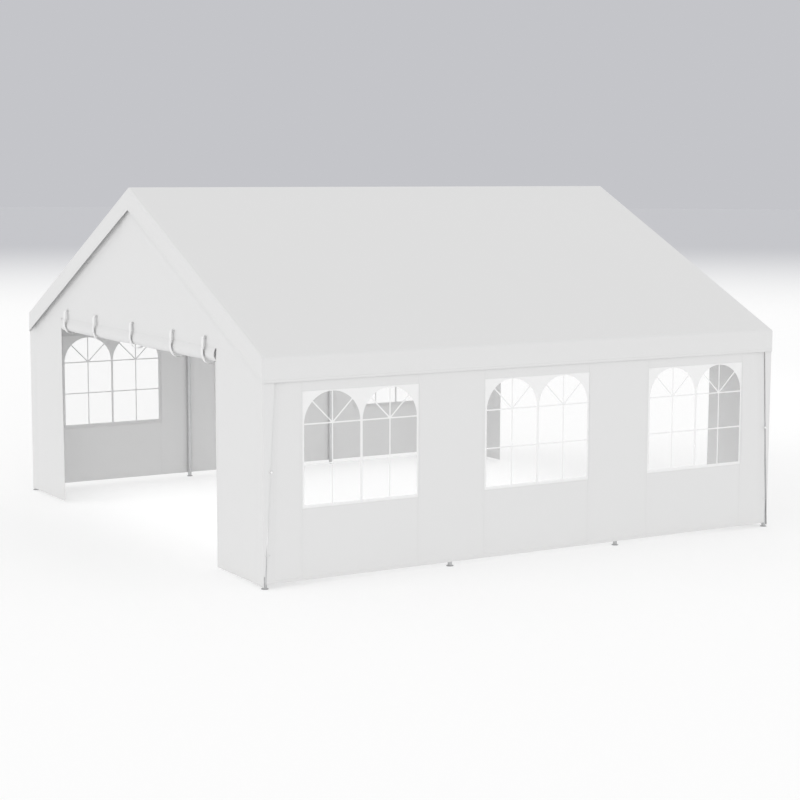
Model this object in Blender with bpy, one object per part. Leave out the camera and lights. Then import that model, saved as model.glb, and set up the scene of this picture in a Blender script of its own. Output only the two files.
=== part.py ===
"""A marquee tent: a steel frame of three bays under a white ridge roof, with windowed side walls
and a doorway in each gable, its door rolled up over the opening.

Metres, +Z up. The origin is on the ground at the middle of the tent. The ridge runs along Y, the
gables face -Y (front) and +Y (back), and the side walls face -X (left) and +X (right).
"""

import math

import bmesh
import bpy
from mathutils import Matrix, Vector

# Plan and heights
HALF_WIDTH = 3.03  # from the middle to a leg's centre, across the ridge
BAY = 2.0  # from frame to frame, along the ridge
BAYS = 3
EAVE_HEIGHT = 2.128  # where the roof's outer slope meets the valance's outer face
RIDGE_HEIGHT = 3.616
COVER_REACH = 0.030  # from a leg's centre out to the cover's outer face
VALANCE_DROP = 0.234

# Steel frame
TUBE_RADIUS = 0.021
THROUGH_RADIUS = 0.024  # the connector's sleeve along the ridge or the eave
ARM_RADIUS = 0.0235  # its sleeves for a leg and for rafters
SLEEVE_LENGTH = 0.12  # from the connector's centre to a sleeve's mouth
SOCKET_START = 0.04  # from the connector's centre to a socket's blind end
CAP_CHAMFER = 0.011  # round the connector's closed end, behind a gable
PLATE_RADIUS = 0.035
PLATE_THICKNESS = 0.005
TUBE_SIDES = 16
PLATE_SIDES = 24

# Sheets
SHEET = 0.0015
PANE = 0.001
GAP = 0.0003  # between pieces that touch
EDGE_ROUNDING = 0.016  # at the roof's eaves, gable edges and corners
RIDGE_ROUNDING = 0.006
ROUNDING_STEPS = 4

# Side walls and their windows
SIDE_HEM = 0.045
SIDE_TOP = 2.095
SIDE_END_AT_HEM = 0.012  # from a corner leg's centre back to the wall's upright edge
SIDE_END_AT_HEAD = 0.075
WINDOW_WIDTH = 1.25
WINDOW_BOTTOM = 0.715
WINDOW_TOP = 1.80
ARCH_WIDTH = 0.59
ARCH_MIDDLE = 0.3075  # from the window's middle to an arch's middle
ARCH_BOTTOM = 0.735
ARCH_SPRING = 1.495
ARCH_STEPS = 12

# End walls, their doorways and the rolled doors
DOOR_HALF_WIDTH = 2.04
DOOR_HEAD = 2.0
END_HEM = 0.02
GABLE_EDGE = 0.020  # from the roof's outer face down to the gable wall's edge
BAND_HALF_WIDTH = 3.05
NOTCH_HALF_WIDTH = 2.07  # of the gable's lower edge, over the roll
CORNER_RADIUS = 0.02
CORNER_STEPS = 4
FLAP_AT_HEM = 0.03  # how far a corner flap reaches along the side wall
FLAP_AT_HEAD = 0.13
FLAP_FOOT = 0.12  # where a flap's free edge ends, above the ground
ROLL_RADIUS = 0.067
ROLL_LENGTH = 4.06
ROLL_REACH = 0.020  # from the end wall's outer face out to the roll's front
ROLL_BOTTOM = 1.993
ROLL_SIDES = 24

# Sizes that follow
HALF_LENGTH = BAY * BAYS / 2
COVER_X = HALF_WIDTH + COVER_REACH
COVER_Y = HALF_LENGTH + COVER_REACH
SLOPE = math.atan2(RIDGE_HEIGHT - EAVE_HEIGHT, COVER_X)
NODE_DEPTH = (SHEET + GAP + THROUGH_RADIUS) / math.cos(SLOPE)
RIDGE_NODE_Z = RIDGE_HEIGHT - NODE_DEPTH
EAVE_NODE_Z = RIDGE_NODE_Z - HALF_WIDTH * math.tan(SLOPE)
SOCKET_RADIUS = TUBE_RADIUS + GAP
TUBE_START = SOCKET_START + GAP
SIDE_WALL_IN = HALF_WIDTH + THROUGH_RADIUS + GAP
FLAP_IN = SIDE_WALL_IN + SHEET + GAP
END_WALL_IN = HALF_LENGTH + THROUGH_RADIUS + GAP
END_WALL_OUT = END_WALL_IN + SHEET
ROLL_Y = END_WALL_OUT + ROLL_REACH - ROLL_RADIUS
ROLL_Z = ROLL_BOTTOM + ROLL_RADIUS
NOTCH_Z = ROLL_Z + math.sqrt(ROLL_RADIUS**2 - (END_WALL_IN - ROLL_Y) ** 2) + GAP
FRAME_YS = [BAY * number - HALF_LENGTH for number in range(BAYS + 1)]
BAY_YS = [(near + far) / 2 for near, far in zip(FRAME_YS, FRAME_YS[1:])]
SIDES = {"left": -1, "right": 1}
ENDS = {"front": -1, "back": 1}

SMOOTH_ANGLE = math.radians(35)
CUTTER_HALF_SPAN = HALF_WIDTH + 0.2

for thing in list(bpy.data.objects):
    bpy.data.objects.remove(thing, do_unlink=True)


def finish(name, colour, roughness, metallic=0.0, transmission=0.0):
    """A plain material of one colour."""
    material = bpy.data.materials.new(name)
    material.use_nodes = True
    shader = material.node_tree.nodes["Principled BSDF"]
    shader.inputs["Base Color"].default_value = (*colour, 1.0)
    shader.inputs["Roughness"].default_value = roughness
    shader.inputs["Metallic"].default_value = metallic
    shader.inputs["Transmission Weight"].default_value = transmission
    return material


TUBE_STEEL = finish("tube_steel", (0.56, 0.57, 0.58), 0.38, metallic=1.0)
CONNECTOR_STEEL = finish("connector_steel", (0.48, 0.49, 0.50), 0.42, metallic=1.0)
ROOF_SHEET = finish("roof_sheet", (0.80, 0.80, 0.79), 0.45)
WALL_SHEET = finish("wall_sheet", (0.77, 0.77, 0.76), 0.50)
DOOR_SHEET = finish("door_sheet", (0.80, 0.80, 0.78), 0.50)
CLEAR_SHEET = finish("clear_sheet", (0.95, 0.96, 0.96), 0.12, transmission=0.9)

TENT = bpy.data.objects.new("marquee", None)
bpy.context.collection.objects.link(TENT)


def mesh_of(name, shape):
    """A smooth-shaded mesh from a closed bmesh, its faces pointing out."""
    bmesh.ops.recalc_face_normals(shape, faces=shape.faces)
    mesh = bpy.data.meshes.new(name)
    shape.to_mesh(mesh)
    shape.free()
    mesh.shade_smooth()
    mesh.set_sharp_from_angle(angle=SMOOTH_ANGLE)
    return mesh


def place(name, mesh, material, location=(0, 0, 0), direction=None):
    """One sub-part, its mesh's own Z turned to the direction where one is given."""
    if not mesh.materials:
        mesh.materials.append(material)
    part = bpy.data.objects.new(name, mesh)
    bpy.context.collection.objects.link(part)
    part.parent = TENT
    part.location = location
    if direction is not None:
        part.rotation_mode = "QUATERNION"
        part.rotation_quaternion = Vector(direction).to_track_quat("Z", "Y")
    return part


def helper(name, mesh, location=(0, 0, 0), direction=None):
    """A shape that only joins or cuts another."""
    shape = place(name, mesh, None, location, direction)
    shape.hide_render = True
    shape.display_type = "WIRE"
    return shape


def combine(part, other, operation):
    modifier = part.modifiers.new(operation.lower(), "BOOLEAN")
    modifier.operation = operation
    modifier.solver = "EXACT"
    modifier.object = other


def rod(name, radius, start, end, sides=TUBE_SIDES, chamfered=()):
    """A round bar along its own Z, from start to end, with a chamfer round the ends at the given heights."""
    shape = bmesh.new()
    bmesh.ops.create_cone(
        shape,
        cap_ends=True,
        segments=sides,
        radius1=radius,
        radius2=radius,
        depth=end - start,
        matrix=Matrix.Translation((0, 0, (start + end) / 2)),
    )
    for height in chamfered:
        at_end = {vert for vert in shape.verts if math.isclose(vert.co.z, height, abs_tol=GAP / 10)}
        bmesh.ops.bevel(
            shape,
            geom=[edge for edge in shape.edges if at_end.issuperset(edge.verts)],
            offset=CAP_CHAMFER,
            offset_type="OFFSET",
            affect="EDGES",
            segments=1,
            profile=0.5,
            material=-1,
        )
    return mesh_of(name, shape)


def block(name, size):
    shape = bmesh.new()
    bmesh.ops.create_cube(shape, size=1.0, matrix=Matrix.Diagonal((*size, 1.0)))
    return mesh_of(name, shape)


def slab(name, outline, shift):
    """A flat outline of 3D points, pushed along shift to a closed solid."""
    shape = bmesh.new()
    face = shape.faces.new([shape.verts.new(point) for point in outline])
    pushed = bmesh.ops.extrude_face_region(shape, geom=[face], use_keep_orig=True)
    moved = [item for item in pushed["geom"] if isinstance(item, bmesh.types.BMVert)]
    bmesh.ops.translate(shape, verts=moved, vec=shift)
    return mesh_of(name, shape)


# Steel frame


def connector(name, centre, ends_at, arms):
    """A welded sleeve along Y, from ends_at[0] to ends_at[1] about its centre, with arms to the given
    directions. Each mouth is a blind socket that takes a tube."""
    closed = [end for end in ends_at if abs(end) != SLEEVE_LENGTH]
    through = rod(name, THROUGH_RADIUS, *ends_at, chamfered=closed)
    joint = place(name, through, CONNECTOR_STEEL, centre, (0, 1, 0))
    for number, arm in enumerate(arms, 1):
        sleeve = rod(f"{name}_sleeve", ARM_RADIUS, 0.0, SLEEVE_LENGTH)
        combine(joint, helper(f"{name}_sleeve_{number}", sleeve, centre, arm), "UNION")
    mouths = [(0, math.copysign(1, end), 0) for end in ends_at if abs(end) == SLEEVE_LENGTH] + arms
    for number, mouth in enumerate(mouths, 1):
        socket = rod(f"{name}_socket", SOCKET_RADIUS, SOCKET_START, 2 * SLEEVE_LENGTH)
        combine(joint, helper(f"{name}_socket_{number}", socket, centre, mouth), "DIFFERENCE")


def sleeve_ends(y):
    """Where the sleeve along Y ends: at a mouth towards the next frame, or closed behind a gable."""
    low = -THROUGH_RADIUS if y == FRAME_YS[0] else -SLEEVE_LENGTH
    high = THROUGH_RADIUS if y == FRAME_YS[-1] else SLEEVE_LENGTH
    return low, high


def steel_frame():
    leg_mesh = rod("leg", TUBE_RADIUS, PLATE_THICKNESS / 2, EAVE_NODE_Z - TUBE_START)
    plate = rod("foot_plate", PLATE_RADIUS, 0.0, PLATE_THICKNESS, PLATE_SIDES)
    slope_length = HALF_WIDTH / math.cos(SLOPE)
    rafter_mesh = rod("rafter", TUBE_RADIUS, TUBE_START, slope_length - TUBE_START)
    purlin_mesh = rod("purlin", TUBE_RADIUS, TUBE_START, BAY - TUBE_START)
    up_slopes = {side: Vector((-sign * math.cos(SLOPE), 0, math.sin(SLOPE))) for side, sign in SIDES.items()}

    for number, y in enumerate(FRAME_YS, 1):
        ridge = Vector((0, y, RIDGE_NODE_Z))
        connector(f"ridge_joint_{number}", ridge, sleeve_ends(y), [-up for up in up_slopes.values()])
        for side, sign in SIDES.items():
            eave = Vector((sign * HALF_WIDTH, y, EAVE_NODE_Z))
            foot = Vector((sign * HALF_WIDTH, y, 0))
            up = up_slopes[side]
            connector(f"{side}_eave_joint_{number}", eave, sleeve_ends(y), [Vector((0, 0, -1)), up])
            leg = place(f"{side}_leg_{number}", leg_mesh, TUBE_STEEL, foot)
            combine(leg, helper(f"{side}_foot_plate_{number}", plate, foot), "UNION")
            place(f"{side}_rafter_{number}", rafter_mesh, TUBE_STEEL, eave, up)

    for number, y in enumerate(FRAME_YS[:-1], 1):
        place(f"ridge_purlin_{number}", purlin_mesh, TUBE_STEEL, (0, y, RIDGE_NODE_Z), (0, 1, 0))
        for side, sign in SIDES.items():
            start = (sign * HALF_WIDTH, y, EAVE_NODE_Z)
            place(f"{side}_eave_purlin_{number}", purlin_mesh, TUBE_STEEL, start, (0, 1, 0))


# Roof cover


def roof_cover():
    """One sheet over both slopes, with a valance hanging from the eaves and from the gable edges."""
    shape = bmesh.new()
    valance_z = EAVE_HEIGHT - VALANCE_DROP
    profile = [
        (-COVER_X, valance_z),
        (-COVER_X, EAVE_HEIGHT),
        (0, RIDGE_HEIGHT),
        (COVER_X, EAVE_HEIGHT),
        (COVER_X, valance_z),
    ]
    front = [shape.verts.new((x, -COVER_Y, z)) for x, z in profile]
    back = [shape.verts.new((x, COVER_Y, z)) for x, z in profile]
    for number in range(len(profile) - 1):
        shape.faces.new((front[number], front[number + 1], back[number + 1], back[number]))
    for end in (front, back):
        under_ridge = shape.verts.new((0, end[0].co.y, RIDGE_HEIGHT - VALANCE_DROP))
        shape.faces.new([*end, under_ridge])
    bmesh.ops.recalc_face_normals(shape, faces=shape.faces)

    def at_ridge(edge):
        """Whether an edge runs along the ridge, before or after its rounding."""
        first, second = edge.verts
        return math.isclose(first.co.x, second.co.x, abs_tol=GAP) and abs(first.co.x) < HALF_WIDTH / 2

    for on_ridge, offset in ((True, RIDGE_ROUNDING), (False, EDGE_ROUNDING)):
        folds = [edge for edge in shape.edges if len(edge.link_faces) == 2]
        bmesh.ops.bevel(
            shape,
            geom=[edge for edge in folds if at_ridge(edge) == on_ridge],
            offset=offset,
            offset_type="OFFSET",
            affect="EDGES",
            segments=ROUNDING_STEPS,
            profile=0.5,
            material=-1,
        )
    cover = place("roof_cover", mesh_of("roof_cover", shape), ROOF_SHEET)
    thick = cover.modifiers.new("thickness", "SOLIDIFY")
    thick.thickness = SHEET
    thick.offset = -1.0
    thick.use_even_offset = True


# Side walls with arched windows


def arch_outline(middle, x):
    """An upright rectangle under a half circle, in a plane across X."""
    radius = ARCH_WIDTH / 2
    turns = [math.pi * step / ARCH_STEPS for step in range(ARCH_STEPS + 1)]
    head = [(x, middle + radius * math.cos(turn), ARCH_SPRING + radius * math.sin(turn)) for turn in turns]
    return [(x, middle + radius, ARCH_BOTTOM), *head, (x, middle - radius, ARCH_BOTTOM)]


def window_cutters():
    """Prisms right across the tent, a pair of arches for each bay, which cut both walls."""
    cutters = []
    for number, bay in enumerate(BAY_YS, 1):
        for place_in_pair in (-1, 1):
            outline = arch_outline(bay + place_in_pair * ARCH_MIDDLE, -CUTTER_HALF_SPAN)
            arch = slab("window_arch", outline, (2 * CUTTER_HALF_SPAN, 0, 0))
            cutters.append(helper(f"window_arch_{number}_{place_in_pair}", arch))
    return cutters


def side_wall_outline():
    """Across X. The upright edges lean in towards the top, behind the corner flaps."""
    at_hem = HALF_LENGTH - SIDE_END_AT_HEM
    at_head = HALF_LENGTH - SIDE_END_AT_HEAD
    corners = [(-at_hem, SIDE_HEM), (at_hem, SIDE_HEM), (at_head, SIDE_TOP), (-at_head, SIDE_TOP)]
    return [(-SHEET / 2, y, z) for y, z in corners]


def side_walls():
    cutters = window_cutters()
    pane_mesh = block("window_pane", (PANE, WINDOW_WIDTH, WINDOW_TOP - WINDOW_BOTTOM))
    for side, sign in SIDES.items():
        wall_mesh = slab("side_wall", side_wall_outline(), (SHEET, 0, 0))
        wall = place(f"{side}_wall", wall_mesh, WALL_SHEET, (sign * (SIDE_WALL_IN + SHEET / 2), 0, 0))
        for cutter in cutters:
            combine(wall, cutter, "DIFFERENCE")
        for number, bay in enumerate(BAY_YS, 1):
            at = (sign * (SIDE_WALL_IN - GAP - PANE / 2), bay, (WINDOW_BOTTOM + WINDOW_TOP) / 2)
            place(f"{side}_window_{number}", pane_mesh, CLEAR_SHEET, at)


# End walls with a doorway


def panel_outline(sign, end):
    """Seen from above: a panel beside the doorway that turns round the corner leg into a short flap."""
    centre_x = FLAP_IN - CORNER_RADIUS
    centre_y = END_WALL_IN - CORNER_RADIUS
    flap_y = END_WALL_OUT - FLAP_AT_HEM
    turns = [math.pi / 2 * step / CORNER_STEPS for step in range(CORNER_STEPS + 1)]

    def run(radius, wall_y):
        corner = [(centre_x + radius * math.sin(turn), centre_y + radius * math.cos(turn)) for turn in turns]
        return [(DOOR_HALF_WIDTH, wall_y), *corner, (centre_x + radius, flap_y)]

    outer = run(CORNER_RADIUS + SHEET, END_WALL_OUT)
    inner = run(CORNER_RADIUS, END_WALL_IN)
    return [(sign * x, end * y, END_HEM) for x, y in outer + inner[::-1]]


def end_panel(name, sign, end):
    shape = bmesh.new()
    face = shape.faces.new([shape.verts.new(point) for point in panel_outline(sign, end)])
    pushed = bmesh.ops.extrude_face_region(shape, geom=[face], use_keep_orig=True)
    top = [item for item in pushed["geom"] if isinstance(item, bmesh.types.BMVert)]
    bmesh.ops.translate(shape, verts=top, vec=(0, 0, DOOR_HEAD - GAP - END_HEM))
    flap_y = END_WALL_OUT - FLAP_AT_HEM
    flap_edge = [vert for vert in top if math.isclose(abs(vert.co.y), flap_y, abs_tol=GAP / 10)]
    bmesh.ops.translate(shape, verts=flap_edge, vec=(0, -end * (FLAP_AT_HEAD - FLAP_AT_HEM), 0))
    flap_foot = [
        vert
        for vert in shape.verts
        if math.isclose(vert.co.z, END_HEM) and math.isclose(abs(vert.co.y), flap_y, abs_tol=GAP / 10)
    ]
    bmesh.ops.translate(shape, verts=flap_foot, vec=(0, 0, FLAP_FOOT - END_HEM))
    place(name, mesh_of(name, shape), WALL_SHEET)


def gable_wall(name, end):
    """The triangle under the roof, and the band over the doorway, with a notch that the roll hangs in."""
    edge_drop = GABLE_EDGE / math.cos(SLOPE)
    shoulder = RIDGE_HEIGHT - edge_drop - BAND_HALF_WIDTH * math.tan(SLOPE)
    y = end * END_WALL_IN
    right_half = [
        (NOTCH_HALF_WIDTH, y, NOTCH_Z),
        (NOTCH_HALF_WIDTH, y, DOOR_HEAD),
        (BAND_HALF_WIDTH, y, DOOR_HEAD),
        (BAND_HALF_WIDTH, y, shoulder),
    ]
    left_half = [(-x, y, z) for x, y, z in reversed(right_half)]
    outline = [*right_half, (0, y, RIDGE_HEIGHT - edge_drop), *left_half]
    place(name, slab(name, outline, (0, end * SHEET, 0)), WALL_SHEET)


def end_walls():
    roll_mesh = rod("door_roll", ROLL_RADIUS, -ROLL_LENGTH / 2, ROLL_LENGTH / 2, ROLL_SIDES)
    for name, end in ENDS.items():
        gable_wall(f"{name}_gable", end)
        for side, sign in SIDES.items():
            end_panel(f"{name}_{side}_panel", sign, end)
        place(f"{name}_door_roll", roll_mesh, DOOR_SHEET, (0, end * ROLL_Y, ROLL_Z), (1, 0, 0))


steel_frame()
roof_cover()
side_walls()
end_walls()
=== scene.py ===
"""A marquee tent, finished: its sewn roof, windowed walls, rolled doors and steel frame, on a pale floor.

Metres, +Z up. The ridge runs along Y, the gables face -Y (front) and +Y (back), and the side walls
face -X (left) and +X (right). Every piece is placed from the frame of solids that is loaded first.
"""

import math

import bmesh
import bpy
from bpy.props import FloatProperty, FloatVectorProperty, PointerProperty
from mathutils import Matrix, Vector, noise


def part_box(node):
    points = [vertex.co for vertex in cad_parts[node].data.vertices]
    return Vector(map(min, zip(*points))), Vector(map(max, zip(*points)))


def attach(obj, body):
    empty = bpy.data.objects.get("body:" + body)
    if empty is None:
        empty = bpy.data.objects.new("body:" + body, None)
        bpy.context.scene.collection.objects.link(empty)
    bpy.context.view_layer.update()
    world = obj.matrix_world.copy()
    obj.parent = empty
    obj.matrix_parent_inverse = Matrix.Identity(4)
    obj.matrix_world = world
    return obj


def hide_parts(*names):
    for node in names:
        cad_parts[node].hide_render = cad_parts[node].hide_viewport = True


bl_info = {
    "name": "Marquee tent",
    "version": (1, 0, 0),
    "blender": (4, 5, 0),
    "location": "View3D > Sidebar > Marquee",
    "description": "Sews a marquee tent's cloth over its steel frame and fits its windows and doors",
    "category": "Add Mesh",
}

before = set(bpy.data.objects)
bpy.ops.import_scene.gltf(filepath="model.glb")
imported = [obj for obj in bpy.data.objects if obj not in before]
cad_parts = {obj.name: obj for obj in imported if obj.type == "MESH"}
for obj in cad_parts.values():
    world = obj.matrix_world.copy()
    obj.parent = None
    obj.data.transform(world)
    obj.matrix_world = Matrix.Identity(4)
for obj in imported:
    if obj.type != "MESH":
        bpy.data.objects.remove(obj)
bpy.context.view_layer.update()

# Places read from the frame


def middle(name):
    low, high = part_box(name)
    return (low + high) / 2


SIDES = {"left": -1, "right": 1}
ENDS = {"front": -1, "back": 1}
LEG_X = middle("right_leg_1").x
FRAME_YS = [middle(f"right_leg_{number}").y for number in range(1, 5)]
BAY = FRAME_YS[1] - FRAME_YS[0]
COVER_X, COVER_Y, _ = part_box("roof_cover")[1]
VALANCE_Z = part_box("roof_cover")[0].z
SIDE_OUT, _, SIDE_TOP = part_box("right_wall")[1]
SIDE_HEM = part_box("right_wall")[0].z
DOOR_EDGE, _, END_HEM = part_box("back_right_panel")[0]
FLAP_OUT, END_OUT, DOOR_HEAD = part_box("back_right_panel")[1]
ROLL_MIDDLE = middle("back_door_roll")
ROLL_HALF_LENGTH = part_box("back_door_roll")[1].x
ROLL_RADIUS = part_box("back_door_roll")[1].z - ROLL_MIDDLE.z
WINDOW_BOXES = [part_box(f"right_window_{number}") for number in range(1, 4)]

# Cloth
SHEET = 0.0015
ROLLED_SHEET = 0.0011
LATTICE = 0.06  # between the cuts that let a sheet ripple
STEP = 0.0008  # how soon a hem or a seam rises from the sheet
SEAM_REACH = 0.2  # distances from a seam are kept up to this
SEAM_HALF = 0.007  # half the width of the seams beside the windows
SEAM_SHARE = 0.8  # of a hem's rise

# The roof's own lines
EAVE_HEIGHT = 2.128
RIDGE_HEIGHT = 3.616
SLOPE = math.atan2(RIDGE_HEIGHT - EAVE_HEIGHT, COVER_X)
VALANCE_DROP = EAVE_HEIGHT - VALANCE_Z
VALANCE_CUTS = (0.09, 0.15)  # cuts through a valance, above its hem
GABLE_EDGE_DROP = 0.024  # from the roof's outer face down to the gable wall's edge
GABLE_FLARE = 0.006  # how far a gable valance's hem stands off
FOLD_STEPS = 5
FOLDS = {"fold": (0.024, FOLD_STEPS), "ridge": (0.006, FOLD_STEPS), "corner": (0.004, 2)}  # reach and steps
FOLD_RADIUS = FOLDS["fold"][0]
FOLD_ANGLE = math.radians(4)  # flatter edges aren't folds
EAVE_NODE_Z = 2.1139  # the middle of an eave connector
RIDGE_NODE_Z = 3.5873

# Windows, in one bay
FILM = 0.0009
PRINT = 0.0004
FILM_MARGIN = 0.015  # how far the window film runs behind the wall
FILM_Y, FILM_Z = [
    (WINDOW_BOXES[1][0][axis] - FILM_MARGIN, WINDOW_BOXES[1][1][axis] + FILM_MARGIN) for axis in (1, 2)
]
ARCH_RADIUS = 0.295
ARCH_MIDDLE = 0.3075
ARCH_FOOT = 0.743
FOOT_STRIP = 0.733  # the darker strip under the arches ends here
ARCH_SPRING = 1.495
CROSS_BAR = 1.12

# End walls hang further in between their corner legs
SET_BACK = 0.022
DOOR_SWING = 0.008
DOOR_PULL = {-1: 0.0, 1: 0.032}  # how far the panels' door edges are drawn to the sides, below the head
HEM_DIP = 0.013  # further in behind a gable valance's left hem; the right one lies on the wall
END_PLANE = END_OUT - SET_BACK
NOTCH_HALF_WIDTH = 2.05
NOTCH_Z = 2.125

# Corner flaps and the side walls' upright edges, from the end wall's outer face inwards
BEND_RADIUS = 0.008
BEND_START = FLAP_OUT - BEND_RADIUS
BEND_LINES = [BEND_START + math.pi / 2 * BEND_RADIUS * step / FOLD_STEPS for step in range(FOLD_STEPS + 1)]
FLAP_START = BEND_LINES[-1]
FLAP_FOOT = 0.12
FLAP_REACH = {-1: (0.122, 0.019), 1: (0.093, 0.015)}  # at the head and at the hem
FLAP_CORNER_CUT = 0.009  # how much narrower a flap is at its lower corner
FLAP_CORNER_SPAN = (0.16, 0.10)  # where that starts and is complete, above the ground
EDGE_INSET = {-1: (0.095, 0.034), 1: (0.100, 0.025)}  # of the side wall, at its head and hem
SIDE_HALF = END_OUT - EDGE_INSET[1][1]
TURN_IN = 0.009  # how far a side wall dips towards its corner flaps
TIE_HEIGHTS = (0.31, 1.08)
TIE_CORD = 0.0021
EYELET_RADIUS = 0.0050
EYELET_WIRE = 0.0024
EYELET_HOLE = 0.0038
TIE_BALL = 0.011  # radius of the ball on the upper ties

# Rolled doors, as (outwards, up) from the end wall's outer face and the ground
ROLL_AT = Vector((ROLL_MIDDLE.y - END_OUT, ROLL_MIDDLE.z))
ROLL_DIP = 0.0085  # how far a roll hangs below its place in the frame, at its middle
ROLL_SLANT = 0.0032  # and further for each metre to the left
ROLL_HALF_SHEET = ROLL_HALF_LENGTH - 0.004
STRAP_XS = (-1.86, -0.99, 0.02, 1.05, 1.80)
# A strap's line: sewn on, down, under the roll and back up
STRAP_LINE = (
    (0.0020, 2.227), (0.0130, 2.226), (0.0225, 2.219), (0.0285, 2.200), (0.0310, 2.165),
    (0.0305, 2.120), (0.0300, 2.060), (0.0240, 2.015), (0.0040, 1.978), (-0.0330, 1.957),
    (-0.0760, 1.958), (-0.1110, 1.980), (-0.1290, 2.025), (-0.1280, 2.080), (-0.1080, 2.130),
    (-0.0640, 2.170), (-0.0200, 2.196), (-0.0030, 2.222),
)
PATCH_OUT = 0.0045  # the patch sewn over a strap's top
PATCH_ZS = (2.226, 2.221, 2.212, 2.206)
PATCH_WIDER = 0.006
BUCKLE_OUT = 0.031
BUCKLE_Z = 2.108
BUCKLE_TALL = 0.030
BUCKLE_BAR = 0.0045
WEBBING = 0.0016
SQUEEZE = 0.055  # how much thinner a strap makes the roll, as a share of its radius
SQUEEZE_REACH = 0.07

# Clamping screws
SCREW_SPOT = 0.095  # from the middle of a connector
SLEEVE_RADIUS = 0.0235

# Weld beads
BEAD_RADIUS = 0.0225
BEAD_Z = 0.0055
BEAD_BUMP = 0.0006
BEAD_BUMPS = 70  # round a leg

# Stage
FLOOR_RADIUS = 160.0
GREYING = {"From Min": 26.0, "From Max": 75.0}  # how far from the middle the floor turns grey
FAR_FLOOR_LIGHT = 0.965  # what falls on the far floor; with the floor's glow it gives the backdrop

# Settings a user would change

LENGTH = {"subtype": "DISTANCE", "unit": "LENGTH"}
COLOUR = {"subtype": "COLOR", "min": 0, "max": 1}
ANGLE = {"subtype": "ANGLE", "unit": "ROTATION"}


class MarqueeCloth(bpy.types.PropertyGroup):
    roof_colour: FloatVectorProperty(
        name="Roof colour", description="Colour of the roof cover", default=(0.75, 0.75, 0.75), **COLOUR
    )
    wall_colour: FloatVectorProperty(
        name="Wall colour", description="Colour of the walls and doors", default=(0.75, 0.75, 0.75), **COLOUR
    )
    roof_sag: FloatProperty(
        name="Roof sag", description="How far the roof dips between rafters", default=0.005, min=0, **LENGTH
    )
    ripple: FloatProperty(
        name="Ripple", description="How far hanging walls swing in and out", default=0.005, min=0, **LENGTH
    )
    hem_width: FloatProperty(
        name="Hem width", description="Width of the sewn hems", default=0.030, min=0.005, **LENGTH
    )
    hem_rise: FloatProperty(
        name="Hem rise", description="How far a hem stands out", default=0.0009, min=0, **LENGTH
    )
    weave_pitch: FloatProperty(
        name="Weave pitch", description="From one thread to the next", default=0.0016, min=0.0002, **LENGTH
    )


class MarqueeWindows(bpy.types.PropertyGroup):
    bar_width: FloatProperty(
        name="Bar width", description="Width of the printed glazing bars", default=0.013, min=0.002, **LENGTH
    )
    print_colour: FloatVectorProperty(
        name="Print colour", description="Colour of the printed frame", default=(0.96, 0.96, 0.96), **COLOUR
    )
    clearness: FloatProperty(
        name="Clearness", description="How much light the film lets through", subtype="FACTOR",
        default=0.95, min=0, max=1,
    )


class MarqueeDoors(bpy.types.PropertyGroup):
    turns: FloatProperty(name="Turns", description="Turns of cloth in each roll", default=6.4, min=1)
    turn_gap: FloatProperty(
        name="Turn gap", description="From one turn to the next", default=0.0044, min=0.002, **LENGTH
    )
    droop: FloatProperty(
        name="Droop", description="How far the roll hangs down between straps", default=0.004, min=0, **LENGTH
    )
    strap_width: FloatProperty(
        name="Strap width", description="Width of the webbing straps", default=0.050, min=0.01, **LENGTH
    )
    webbing_colour: FloatVectorProperty(
        name="Webbing colour", description="Colour of straps and ties", default=(0.93, 0.93, 0.93), **COLOUR
    )


class MarqueeFrame(bpy.types.PropertyGroup):
    zinc_colour: FloatVectorProperty(
        name="Zinc colour", description="Colour of zinc-coated tubes", default=(0.66, 0.664, 0.67), **COLOUR
    )
    screw_size: FloatProperty(
        name="Screw size", description="Across the clamping screws' heads", default=0.017, min=0.004, **LENGTH
    )
    bead_size: FloatProperty(
        name="Weld bead", description="Thickness of the weld at each foot", default=0.005, min=0.001, **LENGTH
    )


class MarqueeStage(bpy.types.PropertyGroup):
    floor_colour: FloatVectorProperty(
        name="Floor colour", description="Colour of the near floor", default=(0.65, 0.65, 0.65), **COLOUR
    )
    far_colour: FloatVectorProperty(
        name="Far colour", description="Colour of the far floor and the backdrop",
        default=(0.363, 0.366, 0.384), **COLOUR,
    )
    floor_glow: FloatProperty(
        name="Floor glow", description="Light that the floor gives off by itself", default=0.56, min=0
    )
    camera_place: FloatVectorProperty(
        name="Camera place", description="Where the camera stands", subtype="TRANSLATION", unit="LENGTH",
        default=(17.8582, -10.4253, 3.8263),
    )
    camera_turn: FloatProperty(
        name="Camera turn", description="Turn to the left from +Y", default=math.radians(59.15), **ANGLE
    )
    camera_tilt: FloatProperty(
        name="Camera tilt", description="Tilt below the horizon", default=math.radians(7.17), **ANGLE
    )
    camera_roll: FloatProperty(
        name="Camera roll", description="Roll of the picture", default=math.radians(0.18), **ANGLE
    )
    camera_lens: FloatProperty(name="Lens", description="Focal length", unit="CAMERA", default=83.18)
    sky: FloatProperty(
        name="Sky light", description="Strength of the light from all round", default=0.88, min=0
    )
    key: FloatProperty(
        name="Key light", description="Strength of the soft light from the front left", default=0.38, min=0
    )
    fill: FloatProperty(
        name="Fill light", description="Strength of the soft light from the right", default=0.43, min=0
    )
    inside: FloatProperty(
        name="Inside light", description="Power of the soft lamp under the roof", unit="POWER",
        default=43.0, min=0,
    )
    behind: FloatProperty(
        name="Light behind", description="Power of the lamp over the floor behind", unit="POWER",
        default=12.0, min=0,
    )


# Shader building blocks


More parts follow.
